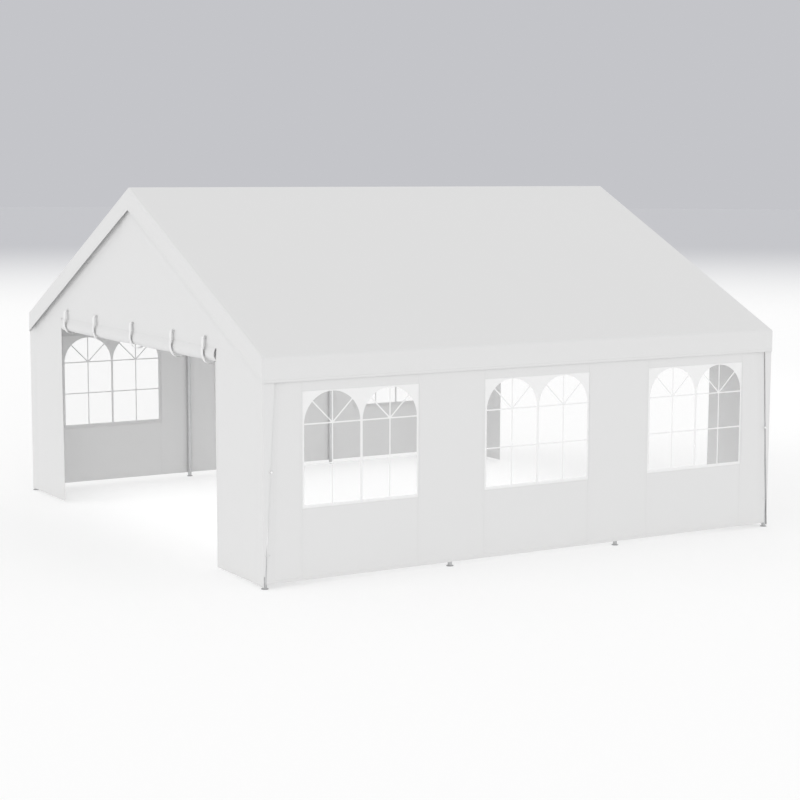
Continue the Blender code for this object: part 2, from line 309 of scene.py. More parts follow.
def feed(made, inputs):
    """Sets a node's inputs, each to a value or from the socket that feeds it."""
    for name, value in inputs.items():
        if isinstance(value, bpy.types.NodeSocket):
            made.id_data.links.new(value, made.inputs[name])
        else:
            made.inputs[name].default_value = value
    return made


def node(tree, kind, inputs=None, **settings):
    """A shader node with its settings and inputs."""
    made = tree.nodes.new(kind)
    for name, value in settings.items():
        setattr(made, name, value)
    return feed(made, inputs or {})


def calc(tree, operation, first, second=0.0, third=0.0, clamp=False):
    """The result of one Math node."""
    inputs = {0: first, 1: second, 2: third}
    return node(tree, "ShaderNodeMath", inputs, operation=operation, use_clamp=clamp).outputs[0]


def mixed(tree, share, first, second):
    """A colour between two others."""
    inputs = {"Factor": share, "A": first, "B": second}
    return node(tree, "ShaderNodeMix", inputs, data_type="RGBA").outputs["Result"]


def mottled(tree, place, scale, detail=2.0, roughness=0.5):
    """A smooth random value from 0 to 1."""
    inputs = {"Vector": place, "Scale": scale, "Detail": detail, "Roughness": roughness}
    return node(tree, "ShaderNodeTexNoise", inputs).outputs[0]


def parts_of(tree, vector):
    return node(tree, "ShaderNodeSeparateXYZ", {0: vector}).outputs


def own_place(tree):
    return node(tree, "ShaderNodeTexCoord").outputs["Object"]


def map_of(tree, name):
    return node(tree, "ShaderNodeUVMap", uv_map=name).outputs["UV"]


def grey(value):
    return (value, value, value, 1)


def new_group(name, inputs, outputs):
    """An empty shader group; an input without a value is a map, and one with four is a colour."""
    group = bpy.data.node_groups.new(name, "ShaderNodeTree")
    kinds = {type(None): "NodeSocketVector", float: "NodeSocketFloat", tuple: "NodeSocketColor"}
    for socket, value in inputs.items():
        made = group.interface.new_socket(socket, in_out="INPUT", socket_type=kinds[type(value)])
        if value is not None:
            made.default_value = value
    for socket in outputs:
        kind = "NodeSocketColor" if socket == "Colour" else "NodeSocketFloat"
        group.interface.new_socket(socket, in_out="OUTPUT", socket_type=kind)
    given = group.nodes.new("NodeGroupInput").outputs
    return group, given, group.nodes.new("NodeGroupOutput")


def placed(tree, build, inputs):
    """The outputs of a shared group, which is built the first time that a finish needs it."""
    name = build.__name__
    group = bpy.data.node_groups.get(name) or build(name)
    return node(tree, "ShaderNodeGroup", inputs, node_tree=group).outputs


def plain_weave(name):
    """Threads that pass over and under each other, on a map in metres."""
    tree, given, result = new_group(name, {"Map": None, "Pitch": 0.0016}, ["Height"])
    inputs = {0: given["Map"], "Scale": calc(tree, "DIVIDE", math.tau, given["Pitch"])}
    parts = parts_of(tree, node(tree, "ShaderNodeVectorMath", inputs, operation="SCALE").outputs[0])
    woven = calc(tree, "MULTIPLY", calc(tree, "SINE", parts["X"]), calc(tree, "SINE", parts["Y"]))
    feed(result, {"Height": calc(tree, "MULTIPLY_ADD", woven, 0.5, 0.5)})
    return tree


def packing_creases(name):
    """Soft dents all over, and faint straight creases from where the cloth lay folded."""
    tree, given, result = new_group(name, {"Map": None, "Fold": 0.62, "Crease": 0.35}, ["Height"])
    height = mottled(tree, given["Map"], 3.1, 3.0, 0.45)
    bend = mottled(tree, given["Map"], 1.3, 1.0)
    parts = parts_of(tree, given["Map"])
    for axis in ("X", "Y"):
        folded = calc(tree, "PINGPONG", calc(tree, "MULTIPLY_ADD", bend, 0.02, parts[axis]), given["Fold"])
        line = calc(tree, "SUBTRACT", 1.0, calc(tree, "DIVIDE", folded, 0.006), clamp=True)
        patchy = calc(tree, "MULTIPLY", calc(tree, "MULTIPLY", line, bend), given["Crease"])
        height = calc(tree, "ADD", height, patchy)
    feed(result, {"Height": height})
    return tree


def sewn_rows(name):
    """Two rows of lock stitch along a hem or seam, from a map of (along, distance from the edge)."""
    inputs = {"Map": None, "First row": 0.005, "Second row": 0.025, "Stitch": 0.005}
    tree, given, result = new_group(name, inputs, ["Thread", "Edge"])
    parts = parts_of(tree, given["Map"])
    dash = calc(tree, "FRACT", calc(tree, "DIVIDE", parts["X"], given["Stitch"]))
    sewn = calc(tree, "LESS_THAN", dash, 0.72)
    rows = [calc(tree, "COMPARE", parts["Y"], given[row], 0.0006) for row in ("First row", "Second row")]
    edge = calc(tree, "SUBTRACT", 1.0, calc(tree, "DIVIDE", parts["Y"], 0.004), clamp=True)
    feed(result, {"Thread": calc(tree, "MULTIPLY", calc(tree, "MAXIMUM", *rows), sewn), "Edge": edge})
    return tree


def settled_dust(name):
    """Darkens towards the ground, and a faint clouding everywhere: settled dust on cloth and plastic, painted
    shade at the legs' feet.
    """
    inputs = {
        "Colour": (0.8, 0.8, 0.8, 1), "Dust": (0.62, 0.58, 0.52, 1), "Reach": 0.30, "Amount": 0.10,
        "Clouding": 0.03,
    }
    tree, given, result = new_group(name, inputs, ["Colour", "Mask"])
    place = own_place(tree)
    height = parts_of(tree, place)["Z"]
    low = calc(tree, "SUBTRACT", 1.0, calc(tree, "DIVIDE", height, given["Reach"]), clamp=True)
    thick = calc(tree, "MULTIPLY", calc(tree, "MULTIPLY", low, low), mottled(tree, place, 14.0, 6.0, 0.6))
    clouds = calc(tree, "SUBTRACT", mottled(tree, place, 1.7, 4.0, 0.55), 0.45, clamp=True)
    thin = calc(tree, "MULTIPLY", clouds, given["Clouding"])
    mask = calc(tree, "ADD", calc(tree, "MULTIPLY", thick, given["Amount"]), thin, clamp=True)
    feed(result, {"Colour": mixed(tree, mask, given["Colour"], given["Dust"]), "Mask": mask})
    return tree


def zinc_bloom(name):
    """The patchwork of a zinc coat: crystal patches and dull spots."""
    inputs = {"Colour": (0.5, 0.5, 0.5, 1), "Patch": 0.012, "Contrast": 0.18, "Roughness": 0.40}
    tree, given, result = new_group(name, inputs, ["Colour", "Roughness", "Height"])
    place = own_place(tree)
    count = calc(tree, "DIVIDE", 1.0, given["Patch"])
    crystals = node(tree, "ShaderNodeTexVoronoi", {"Vector": place, "Scale": count, "Randomness": 1.0})
    tone = parts_of(tree, crystals.outputs["Color"])["X"]
    dull = mottled(tree, place, 9.0, 5.0, 0.6)
    shade = calc(tree, "MULTIPLY", calc(tree, "MULTIPLY", tone, dull), given["Contrast"])
    rough = calc(tree, "MULTIPLY_ADD", calc(tree, "SUBTRACT", dull, 0.5), 0.3, given["Roughness"])
    feed(result, {
        "Colour": mixed(tree, shade, given["Colour"], (0.12, 0.12, 0.13, 1)),
        "Roughness": calc(tree, "MULTIPLY_ADD", tone, 0.06, rough),
        "Height": dull,
    })
    return tree


def webbing_ribs(name):
    """The ribs of woven webbing, in a herringbone, on a map of (along, across) in metres."""
    tree, given, result = new_group(name, {"Map": None, "Rib": 0.0022, "Width": 0.030}, ["Height"])
    parts = parts_of(tree, given["Map"])
    leaned = calc(tree, "PINGPONG", parts["Y"], calc(tree, "DIVIDE", given["Width"], 4.0))
    turn = calc(tree, "DIVIDE", calc(tree, "ADD", parts["X"], leaned), given["Rib"])
    wave = calc(tree, "SINE", calc(tree, "MULTIPLY", turn, math.tau))
    feed(result, {"Height": calc(tree, "MULTIPLY_ADD", wave, 0.5, 0.5)})
    return tree


# Finishes


def new_finish(name, inputs):
    """A material, its node tree, and its Principled shader with some inputs set."""
    material = bpy.data.materials.new(name)
    material.use_nodes = True
    tree = material.node_tree
    return material, tree, feed(tree.nodes["Principled BSDF"], inputs)


def bumps(tree, shader, layers):
    """Bump nodes one on another, from (height, distance, strength) layers."""
    under = {}
    for height, distance, strength in layers:
        inputs = {"Height": height, "Distance": distance, "Strength": strength, **under}
        under = {"Normal": node(tree, "ShaderNodeBump", inputs).outputs["Normal"]}
    feed(shader, under)


def sheeting(name, setting, shade, roughness, dust):
    """White coated sheeting, with a fine weave, packing creases, stitched hems and dust low down."""
    cloth = bpy.context.scene.marquee_cloth
    colour = [value * shade for value in getattr(cloth, setting)]
    material, tree, shader = new_finish(name, {"Specular IOR Level": 0.35})
    weave = placed(tree, plain_weave, {"Map": map_of(tree, "weave"), "Pitch": cloth.weave_pitch})
    creases = placed(tree, packing_creases, {"Map": map_of(tree, "weave")})
    sewing = placed(tree, sewn_rows, {"Map": map_of(tree, "sewn")})
    dusty = placed(tree, settled_dust, {"Colour": (*colour, 1), "Amount": dust})
    thread_share = calc(tree, "MULTIPLY", sewing["Thread"], 0.12)
    threaded = mixed(tree, thread_share, dusty["Colour"], (0.55, 0.55, 0.54, 1))
    # Darker within 4 mm of each hem's and seam's edge
    edge_darkened = mixed(tree, calc(tree, "MULTIPLY", sewing["Edge"], 0.05), threaded, grey(0.50))
    feed(shader, {"Base Color": edge_darkened, "Roughness": calc(tree, "MULTIPLY_ADD", dusty["Mask"], 0.4, roughness)})
    stitches = (sewing["Thread"], 0.0006, 0.8)
    bumps(tree, shader, [(creases["Height"], 0.004, 0.25), stitches, (weave["Height"], 0.00012, 0.5)])
    return material


def clear_film(name):
    """Clear soft film: see-through head on, glossier at a glance, a little wavy. At a glance it also turns
    opaque, so its white base colour stands in as painted reflection beside the real gloss.
    """
    clearness = bpy.context.scene.marquee_windows.clearness
    material, tree, shader = new_finish(name, {"Roughness": 0.10, "Base Color": grey(0.90), "IOR": 1.5})
    glance = node(tree, "ShaderNodeFresnel", {"IOR": 1.25}).outputs[0]
    # Painted reflection: the film's white base colour shows more at a glance
    feed(shader, {"Alpha": calc(tree, "ADD", glance, 1 - clearness, clamp=True)})
    bumps(tree, shader, [(mottled(tree, map_of(tree, "weave"), 6.0, 1.5), 0.004, 0.35)])
    return material


def printed_film(name, shade, through, glow=0.0):
    """White print on the film, with a faint grain: a part of the light passes through it. A glow, when given,
    is painted light.
    """
    inputs = {"Roughness": 0.8, "Specular IOR Level": 0.2, "IOR": 1.1, "Transmission Weight": through}
    glowing = {"Emission Color": grey(1.0), "Emission Strength": glow}
    material, tree, shader = new_finish(name, {**inputs, **glowing})
    colour = [value * shade for value in bpy.context.scene.marquee_windows.print_colour]
    dusty = placed(tree, settled_dust, {"Colour": (*colour, 1), "Amount": 0.04, "Clouding": 0.02})
    feed(shader, {"Base Color": dusty["Colour"]})
    bumps(tree, shader, [(mottled(tree, map_of(tree, "weave"), 420.0), 0.0002, 0.3)])
    return material


def webbing(name):
    """Woven white webbing."""
    inputs = {"Roughness": 0.68, "Specular IOR Level": 0.3, "Sheen Weight": 0.15}
    material, tree, shader = new_finish(name, inputs)
    doors = bpy.context.scene.marquee_doors
    ribs = placed(tree, webbing_ribs, {"Map": map_of(tree, "weave"), "Width": doors.strap_width})["Height"]
    # Painted shade in the hollows between the ribs
    hollow_shade = calc(tree, "MULTIPLY", calc(tree, "SUBTRACT", 1.0, ribs), 0.22)
    feed(shader, {"Base Color": mixed(tree, hollow_shade, (*doors.webbing_colour, 1), grey(0.42))})
    bumps(tree, shader, [(ribs, 0.0005, 0.7)])
    return material


def tie_cord(name):
    """White braided elastic cord."""
    material, tree, shader = new_finish(name, {"Roughness": 0.6, "Specular IOR Level": 0.3})
    inputs = {"Vector": own_place(tree), "Scale": 700.0}
    braid = node(tree, "ShaderNodeTexVoronoi", inputs).outputs["Distance"]
    # Painted shade in the hollows of the braid
    hollow_shade = calc(tree, "MULTIPLY", braid, 0.5, clamp=True)
    colour = (*bpy.context.scene.marquee_doors.webbing_colour, 1)
    feed(shader, {"Base Color": mixed(tree, hollow_shade, colour, grey(0.40))})
    bumps(tree, shader, [(braid, 0.0004, 0.6)])
    return material


def moulded_white(name, shade):
    """White moulded plastic, for the strap buckles and the ties' balls."""
    material, tree, shader = new_finish(name, {"Roughness": 0.36})
    dusty = placed(tree, settled_dust, {"Colour": grey(shade), "Amount": 0.02})
    feed(shader, {"Base Color": dusty["Colour"]})
    bumps(tree, shader, [(mottled(tree, own_place(tree), 900.0), 0.0001, 0.4)])
    return material


def eyelet_enamel(name):
    """White enamel on the eyelets."""
    material, tree, shader = new_finish(name, {"Roughness": 0.35})
    dusty = placed(tree, settled_dust, {"Colour": (0.80, 0.80, 0.79, 1), "Amount": 0.06})
    feed(shader, {"Base Color": dusty["Colour"]})
    return material


def shaded_hole(name):
    """A grey disc that paints the shade inside an eyelet, where the cloth isn't cut."""
    material, tree, shader = new_finish(name, {"Roughness": 0.9})
    speck = mottled(tree, own_place(tree), 600.0)
    feed(shader, {"Base Color": mixed(tree, speck, grey(0.45), grey(0.55))})
    return material


def zinc(name, shade, patch, roughness, foot_shade=0.0):
    """Zinc-coated steel, a shade of the frame's own colour; where asked, darkened to near black near the
    ground as painted shade at the legs' feet.
    """
    colour = [value * shade for value in bpy.context.scene.marquee_frame.zinc_colour]
    material, tree, shader = new_finish(name, {"Metallic": 0.7})
    bloom = placed(tree, zinc_bloom, {"Colour": (*colour, 1), "Patch": patch, "Roughness": roughness})
    foot_shading = {"Colour": bloom["Colour"], "Dust": grey(0.08), "Reach": 0.30, "Amount": foot_shade}
    foot_shaded = placed(tree, settled_dust, foot_shading)["Colour"]
    feed(shader, {"Base Color": foot_shaded, "Roughness": bloom["Roughness"]})
    bumps(tree, shader, [(bloom["Height"], 0.0003, 0.3)])
    return material


FINISHES = {
    "roof_sheeting": (sheeting, "roof_colour", 1.0, 0.46, 0.0),
    "wall_sheeting": (sheeting, "wall_colour", 1.0, 0.52, 0.10),
    # Painted shade: a darker copy of the wall cloth for the walls' inner faces
    "wall_inside": (sheeting, "wall_colour", 0.955, 0.52, 0.0),
    # Painted shade: a much darker copy for the walls' inner faces above the windows, under the eaves
    "wall_head_inside": (sheeting, "wall_colour", 0.8, 0.52, 0.0),
    "door_sheeting": (sheeting, "wall_colour", 1.0, 0.50, 0.0),
    "window_clear_film": (clear_film,),
    "window_white_print": (printed_film, 0.94, 0.13),
    "window_foot_strip": (printed_film, 0.92, 0.09),
    # Painted light: a brighter, glowing copy of the print for its inner faces
    "window_print_inside": (printed_film, 1.0, 0.20, 0.12),
    "strap_webbing": (webbing,),
    "tie_elastic_cord": (tie_cord,),
    "buckle_white_plastic": (moulded_white, 0.86),
    "tie_ball_plastic": (moulded_white, 0.97),
    "eyelet_white": (eyelet_enamel,),
    "eyelet_hole": (shaded_hole,),
    "tube_zinc": (zinc, 1.0, 0.012, 0.40),
    # Painted shade: the legs turn near black towards their feet
    "leg_zinc": (zinc, 1.0, 0.012, 0.40, 0.45),
    "connector_zinc": (zinc, 0.88, 0.009, 0.46),
    "screw_zinc": (zinc, 1.2, 0.003, 0.28),
    "weld_bead": (zinc, 0.70, 0.002, 0.58),
}


def finish_of(name):
    """The finish of that name, made when the first piece asks for it."""
    maker, *values = FINISHES[name]
    return bpy.data.materials.get(name) or maker(name, *values)


# Shape building blocks


def ease(low, high, value):
    """0 at low and before, 1 at high and past it, with a smooth rise."""
    share = min(max((value - low) / (high - low), 0.0), 1.0)
    return share * share * (3 - 2 * share)


def unrest(x, y, seed):
    """A smooth value from 0 to 1 that changes over about a metre."""
    return 0.5 + 0.5 * noise.noise(Vector((x, y, seed)))


def stops(low, high, step):
    """Evenly spaced places strictly between two ends."""
    count = max(round((high - low) / step), 1)
    return [low + (high - low) * number / count for number in range(1, count)]


def verts_in(made):
    return [item for item in made["geom"] if isinstance(item, bmesh.types.BMVert)]


def edges_at(verts):
    return list({edge for vert in verts for edge in vert.link_edges})


def soften(shape, edges, reach, steps):
    """Bevels some edges."""
    bmesh.ops.bevel(
        shape, geom=edges, offset=reach, offset_type="OFFSET", affect="EDGES", segments=steps, profile=0.5,
        material=-1,
    )


def cut(shape, normal, points, wanted=None, clear=False):
    """Cuts the faces that are wanted with a plane through each point, or clears what lies past it."""
    for point in points:
        faces = [face for face in shape.faces if wanted is None or wanted(face)]
        edges = {edge for face in faces for edge in face.edges}
        verts = {vert for face in faces for vert in face.verts}
        plane = {"plane_co": point, "plane_no": normal, "clear_outer": clear}
        bmesh.ops.bisect_plane(shape, geom=[*faces, *edges, *verts], dist=1e-6, **plane)


def cut_at(shape, axis, places, wanted=None):
    """Cuts a sheet straight through at each place along X, Y or Z."""
    normal = Vector([float(axis == name) for name in "XYZ"])
    cut(shape, normal, [normal * place for place in places], wanted)


def hem_lines(edge, width):
    """The two lines between which a hem falls back to the sheet."""
    return [edge + width, edge + width + STEP]


def take_out(shape, wanted):
    """Deletes the faces whose middle is wanted out."""
    faces = [face for face in shape.faces if wanted(face.calc_center_median())]
    bmesh.ops.delete(shape, geom=faces, context="FACES")


def face_outwards(shape, is_out):
    """Turns a sheet over where most of it faces the wrong way."""
    shape.normal_update()
    if sum(face.calc_area() * (1 if is_out(face) else -1) for face in shape.faces) < 0:
        bmesh.ops.reverse_faces(shape, faces=shape.faces)
    shape.normal_update()


def map_sheet(shape, weave_at, sewn_at):
    """Gives a sheet its two maps, in metres: over the weave, and along and away from its seams."""
    weave = shape.loops.layers.uv.new("weave")
    sewn = shape.loops.layers.uv.new("sewn")
    for face in shape.faces:
        for loop in face.loops:
            loop[weave].uv = weave_at(loop.vert.co, face.normal)
            loop[sewn].uv = sewn_at(loop.vert.co, face.normal)


def area_of(shape):
    return sum(face.calc_area() for face in shape.faces)


def mesh_of(name, shape):
    """A mesh made from a bmesh, which ends there."""
    mesh = bpy.data.meshes.new(name)
    shape.to_mesh(mesh)
    shape.free()
    return mesh


def put(name, data):
    """An object in the scene."""
    made = bpy.data.objects.new(name, data)
    bpy.context.scene.collection.objects.link(made)
    return made


def piece(name, shape, finishes, stands_for=(), closed=False):
    """A finished object from a bmesh, riding on the tent."""
    if closed:
        bmesh.ops.recalc_face_normals(shape, faces=shape.faces)
    mesh = mesh_of(name, shape)
    mesh.shade_smooth()
    mesh.set_sharp_from_angle(angle=math.radians(40))
    for finish in finishes:
        mesh.materials.append(finish_of(finish))
    made = put(name, mesh)
    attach(made, "root")
    if stands_for:
        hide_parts(*stands_for)
    return made


def thicken(made, thickness):
    """Gives a sheet its thickness, inwards from its outer face."""
    solid = made.modifiers.new("thickness", "SOLIDIFY")
    solid.thickness = thickness
    solid.offset = -1.0
    solid.use_even_offset = True
    made.modifiers.new("even shading", "WEIGHTED_NORMAL").keep_sharp = True
    return solid


def box(shape, size, centre):
    """A box with slightly broken edges, added to a shape."""
    at = Matrix.Translation(centre) @ Matrix.Diagonal((*size, 1.0))
    made = bmesh.ops.create_cube(shape, size=1.0, matrix=at)
    soften(shape, edges_at(made["verts"]), min(size) * 0.22, 2)


def turned_to(axis):
    return Vector(axis).to_track_quat("Z", "Y").to_matrix().to_4x4()


def ring(shape, radius, thickness, centre, axis, steps=20):
    """A round ring about an axis, added to a shape."""
    turn = turned_to(axis)
    start = Matrix.Translation((radius, 0, 0)) @ Matrix.Rotation(math.pi / 2, 4, "X")
    at = Matrix.Translation(centre) @ turn @ start
    verts = bmesh.ops.create_circle(shape, segments=8, radius=thickness / 2, matrix=at)["verts"]
    bmesh.ops.spin(
        shape, geom=verts + edges_at(verts), cent=centre, axis=turn.to_3x3() @ Vector((0, 0, 1)),
        angle=math.tau, steps=steps, use_merge=True,
    )


def drum(shape, radius, height, centre, axis, sides, radius_end=None):
    """A round, tapered or many-sided bar about an axis, with closed ends, added to a shape."""
    return bmesh.ops.create_cone(
        shape, cap_ends=True, segments=sides, radius1=radius, radius2=radius_end or radius,
        depth=height, matrix=Matrix.Translation(centre) @ turned_to(axis),
    )["verts"]


def smooth_path(points, between=5):
    """Points along a curve that runs through the given ones."""
    path = []
    ends = [points[0] * 2 - points[1], *points, points[-1] * 2 - points[-2]]
    for before, start, end, after in zip(ends, ends[1:], ends[2:], ends[3:]):
        bend = 2 * before - 5 * start + 4 * end - after
        twist = 3 * start - before - 3 * end + after
        for number in range(between):
            t = number / between
            path.append(0.5 * (2 * start + (end - before) * t + bend * t * t + twist * t**3))
    return [*path, points[-1].copy()]


def ribbon(shape, path, width):
    """A flat strip across X along a path, with a map of (along, across) in metres, added to a shape."""
    weave = shape.loops.layers.uv.get("weave") or shape.loops.layers.uv.new("weave")
    pair = [shape.verts.new(path[0] + Vector((side, 0, 0))) for side in (-width / 2, width / 2)]
    edge = shape.edges.new(pair)
    run = 0.0
    for start, end in zip(path, path[1:]):
        made = bmesh.ops.extrude_edge_only(shape, edges=[edge])
        moved = verts_in(made)
        bmesh.ops.translate(shape, verts=moved, vec=end - start)
        edges = [item for item in made["geom"] if isinstance(item, bmesh.types.BMEdge)]
        edge = next(item for item in edges if set(item.verts) == set(moved))
        ahead = run + (end - start).length
        for loop in edge.link_faces[0].loops:
            along, place = (ahead, end) if loop.vert in moved else (run, start)
            loop[weave].uv = (along, loop.vert.co.x - place.x + width / 2)
        run = ahead


def cord(name, path, radius, finish):
    """A round cord along a path, as a piece of its own."""
    curve = bpy.data.curves.new(name, "CURVE")
    curve.dimensions = "3D"
    curve.bevel_depth = radius
    curve.bevel_resolution = 3
    curve.use_fill_caps = True
    spline = curve.splines.new("POLY")
    spline.points.add(len(path) - 1)
    for point, place in zip(spline.points, path):
        point.co = (*place, 1.0)
    shape = bmesh.new()
    holder = bpy.data.objects.new(name, curve)
    shape.from_mesh(holder.to_mesh())
    bpy.data.objects.remove(holder)
    bpy.data.curves.remove(curve)
    bmesh.ops.remove_doubles(shape, verts=shape.verts, dist=1e-6)
    piece(name, shape, [finish], closed=True)


def upright_sheet(axis, half, foot, head):
    """A flat sheet that stands across X or Y, as one face."""
    shape = bmesh.new()
    size = Matrix.Diagonal((2 * half, 2 * half, head - foot, 1.0))
    turn = Matrix.Rotation(math.pi / 2, 4, "Y" if axis == "X" else "X")
    at = Matrix.Translation((0, 0, (head + foot) / 2)) @ size @ turn
    bmesh.ops.create_grid(shape, x_segments=1, y_segments=1, size=0.5, matrix=at)
    return shape


# Roof cover


def slope_z(x):
    return RIDGE_HEIGHT - abs(x) * math.tan(SLOPE)


def slope_normal(sign):
    return Vector((sign * math.sin(SLOPE), 0, math.cos(SLOPE)))


def is_gable(normal):
    return abs(normal.y) > 0.6


def is_eave(normal):
    return abs(normal.x) > 0.7


def roof_hem_distance(point, normal):
    """How far a point of the roof lies from the nearest hem."""
    if is_gable(normal):
        return (point.z - slope_z(point.x) + VALANCE_DROP) * math.cos(SLOPE)
    return point.z - VALANCE_Z


def roof_weave_map(point, normal):
    if is_gable(normal):
        return point.x / math.cos(SLOPE), point.z
    if is_eave(normal):
        return point.y, COVER_X / math.cos(SLOPE) + EAVE_HEIGHT - point.z
    return point.y, abs(point.x) / math.cos(SLOPE)


def roof_sewn_map(point, normal):
    along = point.y if is_eave(normal) else point.x / math.cos(SLOPE)
    return along, min(roof_hem_distance(point, normal), SEAM_REACH)


def fold_kind(edge):
    """Whether an edge of the cover is the ridge, an upright corner or a fold over the frame."""
    start, end = (vert.co for vert in edge.verts)
    if max(abs(start.x), abs(end.x)) < STEP:
        return "ridge"
    if max(abs(start.x - end.x), abs(start.y - end.y)) < STEP and abs(start.x) > COVER_X - STEP:
        return "corner"
    return "fold"


def roof_outline():
    """The folded cover with no thickness: two slopes, an eave valance on each and a valance on each gable."""
    shape = bmesh.new()
    half = [(-COVER_X, VALANCE_Z), (-COVER_X, EAVE_HEIGHT)]
    profile = [*half, (0, RIDGE_HEIGHT), *((-x, z) for x, z in reversed(half))]
    corners = [shape.verts.new((x, -COVER_Y, z)) for x, z in profile]
    line = [shape.edges.new(pair) for pair in zip(corners, corners[1:])]
    swept = bmesh.ops.extrude_edge_only(shape, edges=line)
    bmesh.ops.translate(shape, verts=verts_in(swept), vec=(0, 2 * COVER_Y, 0))
    gable_edges = [
        edge
        for edge in shape.edges
        if abs(edge.verts[0].co.y - edge.verts[1].co.y) < STEP
        and min(vert.co.z for vert in edge.verts) > VALANCE_Z + STEP
    ]
    hung = bmesh.ops.extrude_edge_only(shape, edges=gable_edges)
    bmesh.ops.translate(shape, verts=verts_in(hung), vec=(0, 0, -VALANCE_DROP))
    bmesh.ops.remove_doubles(shape, verts=shape.verts, dist=1e-5)
    bmesh.ops.recalc_face_normals(shape, faces=shape.faces)
    face_outwards(shape, lambda face: face.calc_center_median().dot(face.normal) > 0)

    for kind, (reach, steps) in FOLDS.items():
        folds = [
            edge
            for edge in shape.edges
            if fold_kind(edge) == kind and len(edge.link_faces) == 2 and edge.calc_face_angle() > FOLD_ANGLE
        ]
        soften(shape, folds, reach, steps)
        shape.normal_update()
    return shape


def cut_roof(shape, hem_width):
    """Cuts the cover into a lattice, with lines where its hems rise."""
    cut_at(shape, "Y", stops(-COVER_Y, COVER_Y, LATTICE))
    cut_at(shape, "X", stops(-COVER_X, COVER_X, LATTICE))
    shape.normal_update()
    reaches = [*hem_lines(0, hem_width), *VALANCE_CUTS]
    levels = [VALANCE_Z + reach for reach in reaches]
    cut_at(shape, "Z", levels, lambda face: is_eave(face.normal) and not is_gable(face.normal))
    for sign in SIDES.values():
        slant = slope_normal(sign)
        lines = [Vector((0, 0, RIDGE_HEIGHT - VALANCE_DROP)) + slant * reach for reach in reaches]
        cut(
            shape, slant, lines,
            lambda face: is_gable(face.normal) and face.calc_center_median().x * sign > 0,
        )


def roof_move(point, normal, cloth):
    """How far a point of the cover stands out: dips between rafters, slack valances and raised hems."""
    x, y, z = point
    depth = slope_z(x) - z
    if depth < FOLD_RADIUS * 2:
        in_bay = math.sin(math.pi * ((y - FRAME_YS[0]) % BAY) / BAY) ** 2 if abs(y) < FRAME_YS[-1] else 0.0
        up_slope = math.sin(math.pi * min(abs(x) / COVER_X, 1.0))
        sag = cloth.roof_sag * in_bay * (0.75 + 0.5 * unrest(x * 0.7, y * 0.7, 3))
        return (0.0012 * (unrest(x * 2.3, y * 1.1, 5) - 0.5) - sag) * up_slope
    share = ease(FOLD_RADIUS, VALANCE_DROP, depth)
    out = share * cloth.ripple * (0.2 + 0.7 * unrest(x * 1.3, y * 1.3, 9))
    if is_gable(normal):
        out += GABLE_FLARE * share * ease(COVER_X, COVER_X - 0.15, abs(x)) * ease(0.1, -0.3, x)
        out *= 0.3 + 0.7 * ease(0.6, 0.2, x)
    if roof_hem_distance(point, normal) < cloth.hem_width + STEP / 2:
        out += cloth.hem_rise
    return out


def make_roof_cover():
    cloth = bpy.context.scene.marquee_cloth
    shape = roof_outline()
    cut_roof(shape, cloth.hem_width)
    shape.normal_update()
    map_sheet(shape, roof_weave_map, roof_sewn_map)
    shape.normal_update()
    moves = [(vert, vert.normal * roof_move(vert.co, vert.normal, cloth)) for vert in shape.verts]
    for vert, move in moves:
        vert.co += move
    cover = piece("roof_cover_sheet", shape, ["roof_sheeting"], ["roof_cover"])
    thicken(cover, SHEET)


# Side walls and their windows

SIDE_SEAMS = [corner.y for pair in WINDOW_BOXES for corner in pair]


def side_bulge(y, z):
    """How far a side wall stands out from its flat place: nothing at the legs and under the valance."""
    ripple = bpy.context.scene.marquee_cloth.ripple
    hanging = ease(VALANCE_Z - 0.03, VALANCE_Z - 0.25, z)
    between = abs(math.sin(math.pi * (y - FRAME_YS[0]) / BAY)) ** 0.7
    body = 0.65 * unrest(y * 1.1, z * 0.4, 21) * between
    hem = 0.4 * unrest(y * 2.6, 0, 23) * ease(0.55, SIDE_HEM, z)
    return ripple * hanging * (body + hem)


def side_edge(end, z):
    """Where a side wall's upright edge is, from the middle of the tent."""
    at_head, at_hem = EDGE_INSET[end]
    share = (z - SIDE_HEM) / (VALANCE_Z - SIDE_HEM)
    return END_OUT - at_hem - (at_head - at_hem) * share


def in_window(point):
    return any(low.y < point.y < high.y and low.z < point.z < high.z for low, high in WINDOW_BOXES)


def seam_distance(y):
    return min(abs(y - seam) for seam in SIDE_SEAMS)


def side_distance(point):
    """How far a point of a side wall lies from its nearest hem, seam or window edge."""
    edge = END_OUT - max(EDGE_INSET[1]) - abs(point.y)
    return max(min(point.z - SIDE_HEM, seam_distance(point.y) + 0.0005, abs(edge) + 0.002, SEAM_REACH), 0.0)


def side_wall_sheet(sign, hem_width):
    """A side wall, flat across X, with its windows left open."""
    shape = upright_sheet("X", SIDE_HALF, SIDE_HEM, SIDE_TOP)
    low, high = WINDOW_BOXES[0]
    seam_cuts = (-SEAM_HALF, STEP - SEAM_HALF, 0, SEAM_HALF - STEP, SEAM_HALF)
    columns = stops(-SIDE_HALF, SIDE_HALF, LATTICE) + [y + reach for y in SIDE_SEAMS for reach in seam_cuts]
    rows = [*stops(SIDE_HEM, SIDE_TOP, LATTICE), low.z, high.z, *hem_lines(SIDE_HEM, hem_width)]
    cut_at(shape, "Y", sorted(columns))
    cut_at(shape, "Z", sorted(rows))
    take_out(shape, in_window)
    face_outwards(shape, lambda face: face.normal.x * sign > 0)
    map_sheet(
        shape,
        lambda point, normal: (point.y, point.z),
        lambda point, normal: (point.z + point.y, side_distance(point)),
    )
    # Faces above the windows' tops take material 2, whose inner face gets the darker head finish: painted
    # shade under the eaves
    for face in shape.faces:
        face.material_index = 2 * int(face.calc_center_median().z > high.z)
    return shape


